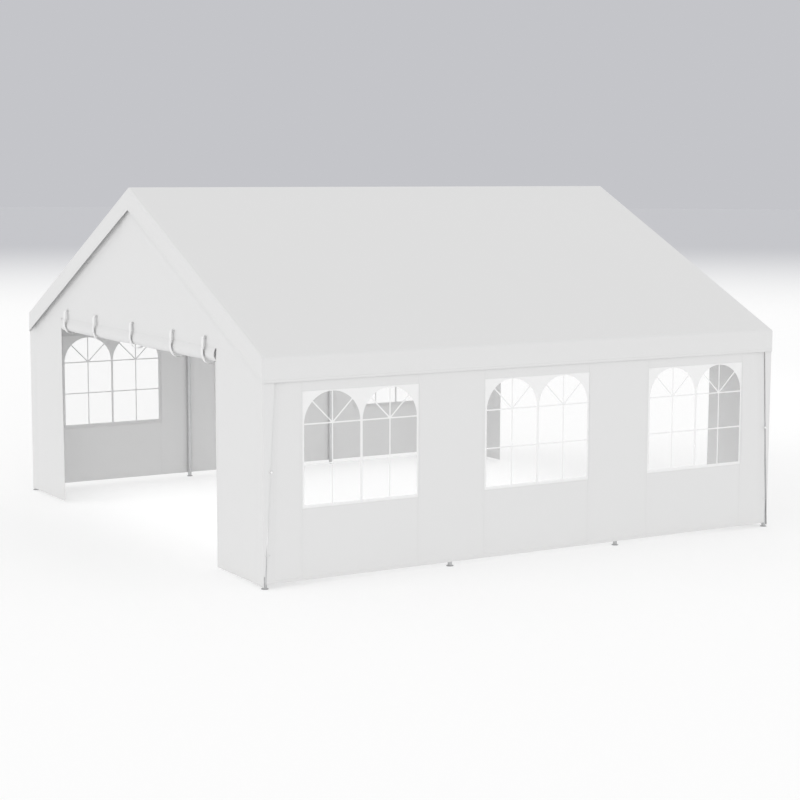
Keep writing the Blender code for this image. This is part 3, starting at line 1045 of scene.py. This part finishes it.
def hang_side_wall(shape, sign, cloth):
    """Lets a flat side wall bulge, raises its hem and seams and draws its edges in at the corners."""
    for vert in shape.verts:
        y, z = vert.co.y, vert.co.z
        end = 1 if y > 0 else -1
        near_edge = ease(SIDE_HALF - 0.45, SIDE_HALF, abs(y))
        edge_place = side_edge(end, z)
        out = side_bulge(y, z)
        if z < SIDE_HEM + cloth.hem_width + STEP / 2:
            out += cloth.hem_rise
        elif seam_distance(y) < SEAM_HALF - STEP / 2:
            out += cloth.hem_rise * SEAM_SHARE
        from_edge = edge_place - abs(y) + (SIDE_HALF - edge_place) * (1 - near_edge)
        vert.co.x = sign * (SIDE_OUT + out - TURN_IN * ease(0.14, 0.015, from_edge))
        vert.co.y -= end * (SIDE_HALF - edge_place) * near_edge


def make_side_walls():
    cloth = bpy.context.scene.marquee_cloth
    # The inner finishes are darker copies of the wall cloth: painted shade, darker still above the windows
    finishes = ["wall_sheeting", "wall_inside", "wall_sheeting", "wall_head_inside"]
    for side, sign in SIDES.items():
        shape = side_wall_sheet(sign, cloth.hem_width)
        area = area_of(shape)
        hang_side_wall(shape, sign, cloth)
        wall = piece(f"{side}_wall_sheet", shape, finishes, [f"{side}_wall"])
        thicken(wall, SHEET).material_offset = 1


def plate(y_range, z_range, thickness):
    """An upright box across X, with sharp edges."""
    shape = bmesh.new()
    size = Matrix.Diagonal((thickness, y_range[1] - y_range[0], z_range[1] - z_range[0], 1.0))
    centre = Matrix.Translation((0, sum(y_range) / 2, sum(z_range) / 2))
    bmesh.ops.create_cube(shape, size=1.0, matrix=centre @ size)
    return shape


def film_plate(thickness):
    return plate(FILM_Y, FILM_Z, thickness)


def cut_film(shape):
    """Cuts a film or its print into a lattice."""
    cut_at(shape, "Y", stops(*FILM_Y, LATTICE))
    cut_at(shape, "Z", stops(*FILM_Z, LATTICE))


def arch_cutter(middle_y):
    """A prism of an arched opening: a half drum on a box, thicker than the print."""
    shape = bmesh.new()
    drum(shape, ARCH_RADIUS, PRINT * 8, (0, middle_y, ARCH_SPRING), (1, 0, 0), 48)
    cut(shape, (0, 0, -1), [(0, 0, ARCH_SPRING)], clear=True)
    rim = [edge for edge in shape.edges if edge.is_boundary]
    dropped = bmesh.ops.extrude_edge_only(shape, edges=rim)
    bmesh.ops.translate(shape, verts=verts_in(dropped), vec=(0, 0, ARCH_FOOT - ARCH_SPRING))
    bmesh.ops.holes_fill(shape, edges=[edge for edge in shape.edges if edge.is_boundary], sides=0)
    bmesh.ops.recalc_face_normals(shape, faces=shape.faces)
    return shape


def glazing_bars(middle_y, width):
    """The bars over one arch: an upright, two across and two rays."""
    half = width / 2
    reach = ARCH_RADIUS + half
    bars = [plate((middle_y - half, middle_y + half), (ARCH_FOOT - half, ARCH_SPRING + reach), PRINT)]
    for level in (CROSS_BAR, ARCH_SPRING):
        bars.append(plate((middle_y - reach, middle_y + reach), (level - half, level + half), PRINT))
    for lean in (-1, 1):
        ray = plate((-half, half), (0, reach), PRINT)
        at = Matrix.Translation((0, middle_y, ARCH_SPRING)) @ Matrix.Rotation(lean * math.pi / 4, 4, "X")
        bmesh.ops.transform(ray, matrix=at, verts=ray.verts)
        bars.append(ray)
    return bars


def window_print_shape(bar_width):
    """One window's print about Y = 0: a plate less two arches, with the glazing bars joined on."""
    whole = put("window_print_plate", mesh_of("window_print_plate", film_plate(PRINT)))
    steps = []
    for side in (-1, 1):
        steps.append((arch_cutter(side * ARCH_MIDDLE), "DIFFERENCE"))
        steps += [(bar, "UNION") for bar in glazing_bars(side * ARCH_MIDDLE, bar_width)]
    helpers = [whole]
    for shape, operation in steps:
        helpers.append(put("window_helper", mesh_of("window_helper", shape)))
        modifier = whole.modifiers.new(operation.lower(), "BOOLEAN")
        modifier.operation = operation
        modifier.solver = "EXACT"
        modifier.object = helpers[-1]
    bpy.context.view_layer.update()
    evaluated = whole.evaluated_get(bpy.context.evaluated_depsgraph_get())
    shape = bmesh.new()
    shape.from_mesh(evaluated.to_mesh())
    evaluated.to_mesh_clear()
    for made in helpers:
        bpy.data.meshes.remove(made.data)
    bmesh.ops.remove_doubles(shape, verts=shape.verts, dist=1e-6)
    cut_film(shape)
    cut_at(shape, "Z", [FOOT_STRIP])
    for face in shape.faces:
        face.material_index = int(face.calc_center_median().z < FOOT_STRIP)
    return shape


def hang_on_side(shape, sign, bay, depth):
    """Maps a flat upright piece at X = 0, Y = 0 and moves it to a side wall's bay, along the wall's bulge."""
    shape.normal_update()
    map_sheet(shape, lambda point, normal: (point.y, point.z), lambda point, normal: (point.y, SEAM_REACH))
    for vert in shape.verts:
        y = vert.co.y + bay
        vert.co = (sign * (SIDE_OUT - depth + side_bulge(y, vert.co.z) + vert.co.x), y, vert.co.z)


def make_windows():
    print_shape = window_print_shape(bpy.context.scene.marquee_windows.bar_width)
    prints = ["window_white_print", "window_foot_strip", "window_print_inside"]
    for side, sign in SIDES.items():
        for number, (low, high) in enumerate(WINDOW_BOXES, 1):
            bay = (low.y + high.y) / 2
            film = film_plate(FILM)
            cut_film(film)
            hang_on_side(film, sign, bay, SHEET + 2 * PRINT + FILM / 2)
            printed = print_shape.copy()
            hang_on_side(printed, sign, bay, SHEET + PRINT)
            # The print's inner faces take its glowing copy: painted light
            for face in printed.faces:
                if face.normal.x * sign < -0.5:
                    face.material_index = 2
            name = f"{side}_window_{number}"
            clear = piece(f"{name}_film", film, ["window_clear_film"], [name], closed=True)
            frame_print = piece(f"{name}_print", printed, prints, closed=True)
    print_shape.free()


# End walls


def flap_reach(end, z):
    """How far a corner flap reaches along the side, from the end wall's outer face."""
    at_head, at_hem = FLAP_REACH[end]
    straight = at_hem + (at_head - at_hem) * (z - END_HEM) / (VALANCE_Z - END_HEM)
    return straight - FLAP_CORNER_CUT * ease(*FLAP_CORNER_SPAN, z)


def flap_end(end, z):
    """Where a corner flap's free edge is on the flat cloth, from the middle of the tent."""
    return FLAP_START + flap_reach(end, z) - BEND_RADIUS


def end_wall_place(end, s, z, out):
    """Where a point of the end wall's flat cloth lies: across the gable, then round the corner leg."""
    past = abs(s) - BEND_START
    if past <= 0:
        return Vector((s, end * (END_OUT + out), z))
    turn = min(past / BEND_RADIUS, math.pi / 2)
    beyond = past - turn * BEND_RADIUS
    x = BEND_START + (BEND_RADIUS + out) * math.sin(turn)
    y = END_OUT - BEND_RADIUS + (BEND_RADIUS + out) * math.cos(turn) - beyond
    return Vector((math.copysign(x, s), end * y, z))


def set_back(s, z):
    """How far in the end wall hangs, clear of the corner legs and the rafters."""
    below_roof = (slope_z(s) - z) * math.cos(SLOPE)
    near_hem = ease(0.12, VALANCE_DROP - 0.03, below_roof) * ease(0.44, 0.27, below_roof)
    dip = (HEM_DIP if s < 0 else -SET_BACK) * near_hem * ease(0.02, 0.4, abs(s))
    return (SET_BACK * ease(0.055, 0.16, below_roof) + dip) * ease(BEND_START, BEND_START - 0.16, abs(s))


def end_bulge(end, s, z):
    """How far the end wall stands out: nothing at the corner legs and at the roll."""
    ripple = bpy.context.scene.marquee_cloth.ripple
    if z < NOTCH_Z:
        panel = ease(BEND_START, BEND_START - 0.25, abs(s)) * ease(DOOR_HEAD - 0.1, DOOR_HEAD - 0.6, z)
        body = ripple * 0.9 * unrest(s * 1.2, z * 0.5, 31 + end) * panel
        hem = ripple * 0.8 * unrest(s * 3.0, 0, 37 + end) * ease(0.5, END_HEM, z) * panel
        swing = DOOR_SWING * ease(DOOR_EDGE + 0.4, DOOR_EDGE, abs(s)) * ease(END_HEM, DOOR_HEAD - 0.3, z)
        return body + hem + swing - set_back(s, z)
    edge = ease(0.05, 0.5, slope_z(s) - VALANCE_DROP - z)
    body = ripple * 0.4 * unrest(s * 0.9, z * 0.9, 41 + end) * edge * ease(NOTCH_Z + 0.1, NOTCH_Z + 0.4, z)
    return body - set_back(s, z)


def by_the_door(z):
    return z < DOOR_HEAD + 0.01


def end_distance(point):
    """How far a point of the end wall's flat cloth lies from its nearest hem."""
    across, z = abs(point.x), point.z
    side = across - DOOR_EDGE if by_the_door(z) else max(z - NOTCH_Z, across - NOTCH_HALF_WIDTH)
    return max(min(z - END_HEM, side, SEAM_REACH), 0.0)


def end_wall_sheet(end, hem):
    """An end wall, flat across Y: the gable, a panel on each side of the doorway and the corner flaps."""
    reach = flap_end(end, DOOR_HEAD)
    shape = upright_sheet("Y", reach, END_HEM, RIDGE_HEIGHT)
    half_columns = [DOOR_EDGE, *hem_lines(DOOR_EDGE, hem), NOTCH_HALF_WIDTH, *BEND_LINES]
    half_columns += stops(DOOR_EDGE, BEND_START, LATTICE) + stops(FLAP_START, reach, LATTICE / 2)
    columns = [side * x for side in (-1, 1) for x in half_columns] + stops(-DOOR_EDGE, DOOR_EDGE, LATTICE)
    rows = [FLAP_FOOT, *hem_lines(END_HEM, hem), DOOR_HEAD, NOTCH_Z, *hem_lines(NOTCH_Z, hem)]
    rows += stops(END_HEM, DOOR_HEAD, LATTICE) + stops(NOTCH_Z, RIDGE_HEIGHT, LATTICE)
    cut_at(shape, "X", sorted(columns))
    cut_at(shape, "Z", sorted(rows))
    take_out(shape, lambda point: abs(point.x) < DOOR_EDGE and point.z < DOOR_HEAD)
    take_out(shape, lambda point: abs(point.x) < NOTCH_HALF_WIDTH and DOOR_HEAD < point.z < NOTCH_Z)
    take_out(shape, lambda point: abs(point.x) > BEND_START and point.z > DOOR_HEAD)
    take_out(shape, lambda point: abs(point.x) > BEND_LINES[3] and point.z < FLAP_FOOT)
    for sign in SIDES.values():
        slant = slope_normal(sign)
        cut(shape, slant, [Vector((0, 0, RIDGE_HEIGHT)) - slant * GABLE_EDGE_DROP], clear=True)
        foot, head = (Vector((sign * flap_end(end, z), 0, z)) for z in (END_HEM, VALANCE_Z))
        outwards = Vector((sign * (head - foot).z, 0, -sign * (head - foot).x)).normalized()
        cut(shape, outwards, [foot], lambda face: face.calc_center_median().x * sign > FLAP_START, clear=True)
    face_outwards(shape, lambda face: face.normal.y * end > 0)
    map_sheet(
        shape,
        lambda point, normal: (point.x, point.z),
        lambda point, normal: (point.x + point.z, end_distance(point)),
    )
    return shape


def hang_end_wall(shape, end, cloth):
    """Lets a flat end wall bulge, raises its hems and turns its flaps round the corner legs."""
    for vert in shape.verts:
        s, z = vert.co.x, vert.co.z
        pull = DOOR_PULL[end] * ease(DOOR_EDGE + 0.4, DOOR_EDGE, abs(s)) * ease(DOOR_HEAD, DOOR_HEAD - 0.2, z)
        s += math.copysign(pull, s)
        out = end_bulge(end, s, z)
        if end_distance(vert.co) < cloth.hem_width + STEP / 2 and by_the_door(z):
            out += cloth.hem_rise
        free = ease(FLAP_START, flap_end(end, z), abs(s)) * ease(VALANCE_Z - 0.02, VALANCE_Z - 0.3, z)
        vert.co = end_wall_place(end, s, z, out + 0.002 * free * unrest(z * 2.0, end, 47))
    shape.normal_update()


def make_end_walls():
    cloth = bpy.context.scene.marquee_cloth
    for name, end in ENDS.items():
        shape = end_wall_sheet(end, cloth.hem_width)
        area = area_of(shape)
        hang_end_wall(shape, end, cloth)
        nodes = [f"{name}_gable", f"{name}_left_panel", f"{name}_right_panel"]
        wall = piece(f"{name}_end_wall_sheet", shape, ["wall_sheeting"], nodes)
        thicken(wall, SHEET)


# Rolled doors and their straps


def roll_line(turns, turn_gap):
    """The rolled cloth from its sewn top edge to its inner end, seen along X, as (outwards, up) points."""
    middle_out, middle_up = ROLL_MIDDLE.y - END_OUT, ROLL_MIDDLE.z
    start = Vector((-0.0002, NOTCH_Z + 0.0005))
    to_start = start - ROLL_AT
    bearing = math.atan2(to_start.y, to_start.x) - math.acos(ROLL_RADIUS / to_start.length)
    steps_each = 24
    turned = []
    for number in range(round(turns * steps_each) + 1):
        angle = bearing - math.tau * number / steps_each
        radius = ROLL_RADIUS - turn_gap * number / steps_each
        turned.append(Vector((middle_out + radius * math.cos(angle), middle_up + radius * math.sin(angle))))
    slack = (turned[0] - start) / 3
    return [start, start + slack, start + slack * 2, *turned]


def squeeze(x):
    """How tightly the nearest strap holds the roll, from 0 to 1."""
    return max(math.exp(-(((x - strap) / SQUEEZE_REACH) ** 2)) for strap in STRAP_XS)


def droop(x):
    """How far the roll hangs between two straps, from 0 to 1."""
    edges = [-ROLL_HALF_LENGTH - 0.1, *STRAP_XS, ROLL_HALF_LENGTH + 0.1]
    left, right = next(pair for pair in zip(edges, edges[1:]) if pair[0] <= x <= pair[1])
    return math.sin(math.pi * (x - left) / (right - left)) ** 2 * min((right - left) / 0.9, 1.0)


def roll_push(x):
    """How far a part of the roll stands out from its place: its left part more, its right end less."""
    return 0.007 * ease(-0.3, -1.3, x) - 0.006 * ease(1.75, 2.0, x)


def roll_place(end, x, row, point):
    """Where a point of the roll's line lies at x: held by the straps, crumpled and drooping between them."""
    rolled = ease(1, 7, row)
    spoke = point - ROLL_AT
    angle = math.atan2(spoke.y, spoke.x)
    held = squeeze(x)
    wave = (unrest(x * 1.7, angle * 1.3, 55 + end) - 0.5) * (0.006 + 0.004 * held)
    wave += (unrest(x * 11.0, angle * 4.0, 58 + end) - 0.5) * 0.009 * held
    radius = spoke.length * (1 - SQUEEZE * held * rolled) + wave * rolled
    point = ROLL_AT + spoke.normalized() * radius
    hang = bpy.context.scene.marquee_doors.droop * (droop(x) - 0.3)
    low = (ROLL_DIP - ROLL_SLANT * x + hang) * rolled
    return Vector((x, end * (END_PLANE + point.x + roll_push(x) * rolled), point.y - low))


def door_roll(end, line, runs):
    """One rolled door: a flat sheet, mapped, whose rows then go to their places along the roll's line."""
    shape = bmesh.new()
    rows = len(line) - 1
    columns = 2 * round(ROLL_HALF_LENGTH / 0.05)
    bmesh.ops.create_grid(shape, x_segments=columns, y_segments=rows, size=0.5)
    places = {}
    for vert in shape.verts:
        row = round((vert.co.y + 0.5) * rows)
        across = vert.co.x * 2
        x = across * ROLL_HALF_SHEET
        x += math.copysign(1, x) * 0.008 * (unrest(row * 0.11, end, 51) - 0.5) * abs(across) ** 8
        places[vert] = roll_place(end, x, row, line[row])
        vert.co = (x, runs[row], 0)
    map_sheet(
        shape,
        lambda point, normal: point.xy,
        lambda point, normal: (point.x, min(point.y, SEAM_REACH)),
    )
    for vert, place in places.items():
        vert.co = place
    axis = Vector((end * (END_PLANE + ROLL_AT.x), ROLL_AT.y))
    face_outwards(shape, lambda face: (face.calc_center_median().yz - axis).dot(face.normal.yz) > 0)
    return shape


def make_door_rolls():
    doors = bpy.context.scene.marquee_doors
    line = roll_line(doors.turns, doors.turn_gap)
    runs = [0.0]
    for start, end in zip(line, line[1:]):
        runs.append(runs[-1] + (end - start).length)
    for name, end in ENDS.items():
        shape = door_roll(end, line, runs)
        roll = piece(f"{name}_door_roll_sheet", shape, ["door_sheeting"], [f"{name}_door_roll"])
        thicken(roll, ROLLED_SHEET)


def strap_path(end, x, number):
    """One strap's line, its loop a little different from the others."""
    loosen = 0.006 * (unrest(number * 3.7, end, 61) * 2 - 1)
    points = []
    for out, up in STRAP_LINE:
        below = ease(2.06, 1.96, up)
        out += max(roll_push(x), 0) * ease(-0.06, 0.02, out) * ease(2.226, 2.205, up)
        across = x + 0.004 * below * math.sin(number * 2.1)
        points.append(Vector((across, end * (END_PLANE + out), up - loosen * below)))
    return smooth_path(points)


def strap_tail(end, x, number):
    """The strap's free end, which hangs out of the buckle."""
    front = END_PLANE + max(roll_push(x), 0)
    places = (
        (0, 0.0345, 0.004), (0, 0.0360, -0.020), (0.002, 0.0365, -0.045),
        (0.004, 0.0340 + 0.002 * (number % 3), -0.068),
    )
    points = [Vector((x + across, end * (front + out), BUCKLE_Z + up)) for across, out, up in places]
    return smooth_path(points, 4)


def buckle(shape, end, x, width):
    """A ladder buckle: a frame with rounded edges and a bar across its middle."""
    y = end * (END_PLANE + BUCKLE_OUT + max(roll_push(x), 0))
    bar = BUCKLE_BAR
    for side in (-1, 1):
        box(shape, (bar, bar, BUCKLE_TALL), (x + side * (width + bar) / 2, y, BUCKLE_Z))
        box(shape, (width + 2 * bar, bar, bar), (x, y, BUCKLE_Z + side * (BUCKLE_TALL - bar) / 2))
    box(shape, (width, bar - 0.001, bar), (x, y + end * 0.001, BUCKLE_Z))


def make_roll_straps():
    width = bpy.context.scene.marquee_doors.strap_width
    for name, end in ENDS.items():
        straps = bmesh.new()
        buckles = bmesh.new()
        for number, x in enumerate(STRAP_XS, 1):
            ribbon(straps, strap_path(end, x, number), width)
            ribbon(straps, strap_tail(end, x, number), width)
            patch = [Vector((x, end * (END_PLANE + PATCH_OUT), z)) for z in PATCH_ZS]
            ribbon(straps, patch, width + PATCH_WIDER)
            buckle(buckles, end, x, width)
        straps.normal_update()
        thicken(piece(f"{name}_roll_straps", straps, ["strap_webbing"]), WEBBING).offset = 0.0
        piece(f"{name}_strap_buckles", buckles, ["buckle_white_plastic"], closed=True)


# Corner ties


def corner_point(end, sign, z, from_end, lift):
    """A point on a corner's side face: so far in from the end wall, and so far out from the side wall."""
    return Vector((sign * (SIDE_OUT + lift), end * (END_OUT - from_end), z))


def tie_ends(end, sign, z):
    """The middles of a tie's two eyelets, in the side wall and in the flap."""
    flap_in = flap_reach(end, z)
    wall_in = max(END_OUT - side_edge(end, z), flap_in) + 0.022
    in_wall = corner_point(end, sign, z, wall_in, side_bulge(end * (END_OUT - wall_in), z) + 0.0004)
    return in_wall, corner_point(end, sign, z, max(flap_in - 0.014, 0.012), 0.0030)


def tie_path(own, other, sign):
    """A tie's cord, from behind one eyelet to behind the other, a little proud of the cloth between."""
    places = (
        (0, -0.006, 0), (0, 0.002, 0), (0.35, 0.0035, 0.001),
        (0.70, 0.0040, 0), (1, 0.002, 0), (1, -0.005, 0),
    )
    return smooth_path([own.lerp(other, share) + Vector((sign * out, 0, up)) for share, out, up in places], 6)


def make_corner_ties():
    rings = bmesh.new()
    hole_shades = bmesh.new()
    balls = bmesh.new()
    for end_name, end in ENDS.items():
        for side, sign in SIDES.items():
            for number, z in enumerate(TIE_HEIGHTS, 1):
                own, other = tie_ends(end, sign, z)
                for spot in (own, other):
                    ring(rings, EYELET_RADIUS, EYELET_WIRE, spot, (1, 0, 0))
                    # A grey disc inside each eyelet paints the shade of a hole
                    drum(hole_shades, EYELET_HOLE, 0.0010, spot + Vector((sign * 0.0002, 0, 0)), (1, 0, 0), 16)
                if number == len(TIE_HEIGHTS):
                    at = Matrix.Translation(own.lerp(other, 0.5) + Vector((sign * TIE_BALL * 0.8, 0, 0)))
                    bmesh.ops.create_uvsphere(balls, u_segments=24, v_segments=14, radius=TIE_BALL, matrix=at)
                name = f"{end_name}_{side}_tie_{number}"
                cord(name, tie_path(own, other, sign), TIE_CORD, "tie_elastic_cord")
    piece("tie_balls", balls, ["tie_ball_plastic"], closed=True)
    piece("corner_eyelets", rings, ["eyelet_white"], closed=True)
    piece("corner_eyelet_holes", hole_shades, ["eyelet_hole"], closed=True)


# Steel frame

FRAME_FINISHES = {"joint": "connector_zinc", "leg": "leg_zinc", "rafter": "tube_zinc", "purlin": "tube_zinc"}


def dress_frame():
    """Gives the frame's own tubes and connectors their zinc coat."""
    for name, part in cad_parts.items():
        finish = next((finish for word, finish in FRAME_FINISHES.items() if word in name), None)
        if finish and not part.hide_render:
            part.data.materials.clear()
            part.data.materials.append(finish_of(finish))


def clamp_screw(shape, place, direction, size):
    """A six-sided screw head on a short shank, with a domed top."""
    drum(shape, size * 0.30, 0.012, place + direction * 0.003, direction, 12)
    head = drum(shape, size / 2, 0.006, place + direction * 0.0075, direction, 6)
    soften(shape, edges_at(head), 0.0008, 2)
    drum(shape, size * 0.36, 0.002, place + direction * 0.0112, direction, 16, size * 0.25)


def screw_spots(y):
    """Where the screws of one frame clamp its tubes, as (from, along, direction)."""
    steps = [step for step in (-1, 1) if abs(y + step) < FRAME_YS[-1] + 0.1]
    ridge = Vector((0, y, RIDGE_NODE_Z))
    spots = [(ridge, Vector((0, step, 0)), Vector((0, 0, -1))) for step in steps]
    for sign in SIDES.values():
        eave = Vector((sign * LEG_X, y, EAVE_NODE_Z))
        up = Vector((-sign * math.cos(SLOPE), 0, math.sin(SLOPE)))
        inwards = Vector((-sign, 0, 0))
        under = -slope_normal(sign)
        spots += [(eave, Vector((0, 0, -1)), inwards), (eave, up, under), (ridge, -up, under)]
        spots += [(eave, Vector((0, step, 0)), inwards) for step in steps]
    return spots


def make_frame_fittings():
    settings = bpy.context.scene.marquee_frame
    dress_frame()
    screws = bmesh.new()
    beads = bmesh.new()
    for y in FRAME_YS:
        for start, along, direction in screw_spots(y):
            place = start + along * SCREW_SPOT + direction * SLEEVE_RADIUS
            clamp_screw(screws, place, direction, settings.screw_size)
        for sign in SIDES.values():
            ring(beads, BEAD_RADIUS, settings.bead_size, (sign * LEG_X, y, BEAD_Z), (0, 0, 1), steps=48)
    for vert in beads.verts:
        around = math.atan2(vert.co.y - round(vert.co.y), abs(vert.co.x) - LEG_X)
        vert.co.z += BEAD_BUMP * math.sin(BEAD_BUMPS * around)
    piece("clamping_screws", screws, ["screw_zinc"], closed=True)
    piece("foot_weld_beads", beads, ["weld_bead"], closed=True)


# Stage


def floor_finish(stage):
    """Pale paper that greys far from the tent."""
    inputs = {"Roughness": 0.95, "Specular IOR Level": 0.1, "Emission Strength": stage.floor_glow}
    material, tree, shader = new_finish("floor_paper", inputs)
    away = node(tree, "ShaderNodeVectorMath", {0: own_place(tree)}, operation="LENGTH").outputs["Value"]
    inputs = {"Value": away, **GREYING}
    far = node(tree, "ShaderNodeMapRange", inputs, interpolation_type="SMOOTHSTEP").outputs[0]
    colour = mixed(tree, far, (*stage.floor_colour, 1), (*stage.far_colour, 1))
    feed(shader, {"Base Color": colour, "Emission Color": colour})
    return material


def sun(name, strength, direction, spread):
    """A soft light from one side."""
    light = bpy.data.lights.new(name, "SUN")
    light.energy = strength
    light.angle = math.radians(spread)
    lamp = put(name, light)
    lamp.rotation_mode = "QUATERNION"
    lamp.rotation_quaternion = Vector(direction).to_track_quat("Z", "Y")


def soft_lamp(name, power, size, place, spread):
    """A flat lamp that shines straight down and isn't seen itself."""
    light = bpy.data.lights.new(name, "AREA")
    light.shape = "RECTANGLE"
    light.size, light.size_y = size
    light.spread = math.radians(spread)
    light.energy = power
    lamp = put(name, light)
    lamp.location = place
    lamp.visible_camera = False


def make_world(stage):
    """Even white light from all round, while the camera sees the backdrop's colour."""
    world = bpy.data.worlds.new("studio_light")
    bpy.context.scene.world = world
    world.use_nodes = True
    tree = world.node_tree
    lighting = feed(tree.nodes["Background"], {"Color": grey(1.0), "Strength": stage.sky})
    backdrop = {"Color": (*stage.far_colour, 1), "Strength": FAR_FLOOR_LIGHT + stage.floor_glow}
    seen = node(tree, "ShaderNodeBackground", backdrop).outputs[0]
    by_camera = node(tree, "ShaderNodeLightPath").outputs["Is Camera Ray"]
    picked = node(tree, "ShaderNodeMixShader", {0: by_camera, 1: lighting.outputs[0], 2: seen})
    feed(tree.nodes["World Output"], {0: picked.outputs[0]})


def make_camera(stage):
    """The camera that took the picture."""
    camera = bpy.data.cameras.new("camera")
    camera.sensor_width = 36.0
    camera.lens = stage.camera_lens
    camera.clip_end = 500
    holder = put("camera", camera)
    turn = Matrix.Rotation(stage.camera_turn, 4, "Z")
    tilt = Matrix.Rotation(math.pi / 2 - stage.camera_tilt, 4, "X")
    roll = Matrix.Rotation(stage.camera_roll, 4, "Z")
    holder.matrix_world = Matrix.Translation(stage.camera_place) @ turn @ tilt @ roll
    bpy.context.scene.camera = holder


def make_stage():
    scene = bpy.context.scene
    stage = scene.marquee_stage
    shape = bmesh.new()
    bmesh.ops.create_circle(shape, cap_ends=True, segments=96, radius=FLOOR_RADIUS)
    mesh = mesh_of("studio_floor", shape)
    mesh.materials.append(floor_finish(stage))
    floor = put("studio_floor", mesh)
    make_world(stage)
    sun("key_light", stage.key, direction=(-0.25, -0.85, 0.30), spread=35)
    sun("fill_light", stage.fill, direction=(0.95, 0.05, 0.12), spread=50)
    soft_lamp("inside_light", stage.inside, size=(5.9, 5.7), place=(0, 0, 2.05), spread=75)
    soft_lamp("light_behind", stage.behind, size=(10.0, 10.0), place=(-6.0, 8.5, 4.5), spread=60)
    make_camera(stage)
    scene.view_settings.view_transform = "Standard"
    scene.view_settings.look = "None"


# Operators and panel


class MARQUEE_OT_stage(bpy.types.Operator):
    """Set up the floor, the lights and the camera"""

    bl_idname = "marquee.stage"
    bl_label = "Stage"

    def execute(self, context):
        make_stage()
        return {"FINISHED"}


class MARQUEE_OT_roof_cover(bpy.types.Operator):
    """Sew the roof cover with its valances"""

    bl_idname = "marquee.roof_cover"
    bl_label = "Roof cover"

    def execute(self, context):
        make_roof_cover()
        return {"FINISHED"}


class MARQUEE_OT_side_walls(bpy.types.Operator):
    """Hang both side walls"""

    bl_idname = "marquee.side_walls"
    bl_label = "Side walls"

    def execute(self, context):
        make_side_walls()
        return {"FINISHED"}


class MARQUEE_OT_windows(bpy.types.Operator):
    """Fit the clear film and the printed frames of all windows"""

    bl_idname = "marquee.windows"
    bl_label = "Windows"

    def execute(self, context):
        make_windows()
        return {"FINISHED"}


class MARQUEE_OT_end_walls(bpy.types.Operator):
    """Hang both end walls with their corner flaps"""

    bl_idname = "marquee.end_walls"
    bl_label = "End walls"

    def execute(self, context):
        make_end_walls()
        return {"FINISHED"}


class MARQUEE_OT_door_rolls(bpy.types.Operator):
    """Roll up the door at each end"""

    bl_idname = "marquee.door_rolls"
    bl_label = "Door rolls"

    def execute(self, context):
        make_door_rolls()
        return {"FINISHED"}


class MARQUEE_OT_roll_straps(bpy.types.Operator):
    """Strap up the rolled doors"""

    bl_idname = "marquee.roll_straps"
    bl_label = "Roll straps"

    def execute(self, context):
        make_roll_straps()
        return {"FINISHED"}


class MARQUEE_OT_corner_ties(bpy.types.Operator):
    """Tie the corner flaps to the side walls"""

    bl_idname = "marquee.corner_ties"
    bl_label = "Corner ties"

    def execute(self, context):
        make_corner_ties()
        return {"FINISHED"}


class MARQUEE_OT_frame_fittings(bpy.types.Operator):
    """Finish the steel frame and add its screws and welds"""

    bl_idname = "marquee.frame_fittings"
    bl_label = "Frame fittings"

    def execute(self, context):
        make_frame_fittings()
        return {"FINISHED"}


SETTINGS = {
    "marquee_cloth": MarqueeCloth,
    "marquee_windows": MarqueeWindows,
    "marquee_doors": MarqueeDoors,
    "marquee_frame": MarqueeFrame,
    "marquee_stage": MarqueeStage,
}
OPERATORS = (
    MARQUEE_OT_stage,
    MARQUEE_OT_roof_cover,
    MARQUEE_OT_side_walls,
    MARQUEE_OT_windows,
    MARQUEE_OT_end_walls,
    MARQUEE_OT_door_rolls,
    MARQUEE_OT_roll_straps,
    MARQUEE_OT_corner_ties,
    MARQUEE_OT_frame_fittings,
)


class MARQUEE_PT_pieces(bpy.types.Panel):
    """Lists the tent's settings and pieces"""

    bl_idname = "MARQUEE_PT_pieces"
    bl_label = "Marquee tent"
    bl_space_type = "VIEW_3D"
    bl_region_type = "UI"
    bl_category = "Marquee"

    def draw(self, context):
        layout = self.layout
        for name in SETTINGS:
            group = getattr(context.scene, name)
            column = layout.box().column()
            for setting in group.__annotations__:
                column.prop(group, setting)
        for operator in OPERATORS:
            layout.operator(operator.bl_idname)


CLASSES = (*SETTINGS.values(), *OPERATORS, MARQUEE_PT_pieces)


def register():
    for item in CLASSES:
        bpy.utils.register_class(item)
    for name, group in SETTINGS.items():
        setattr(bpy.types.Scene, name, PointerProperty(type=group))


def unregister():
    for name in SETTINGS:
        delattr(bpy.types.Scene, name)
    for item in reversed(CLASSES):
        bpy.utils.unregister_class(item)


def main():
    register()
    for operator in OPERATORS:
        family, name = operator.bl_idname.split(".")
        getattr(getattr(bpy.ops, family), name)()


if __name__ == "__main__":
    main()
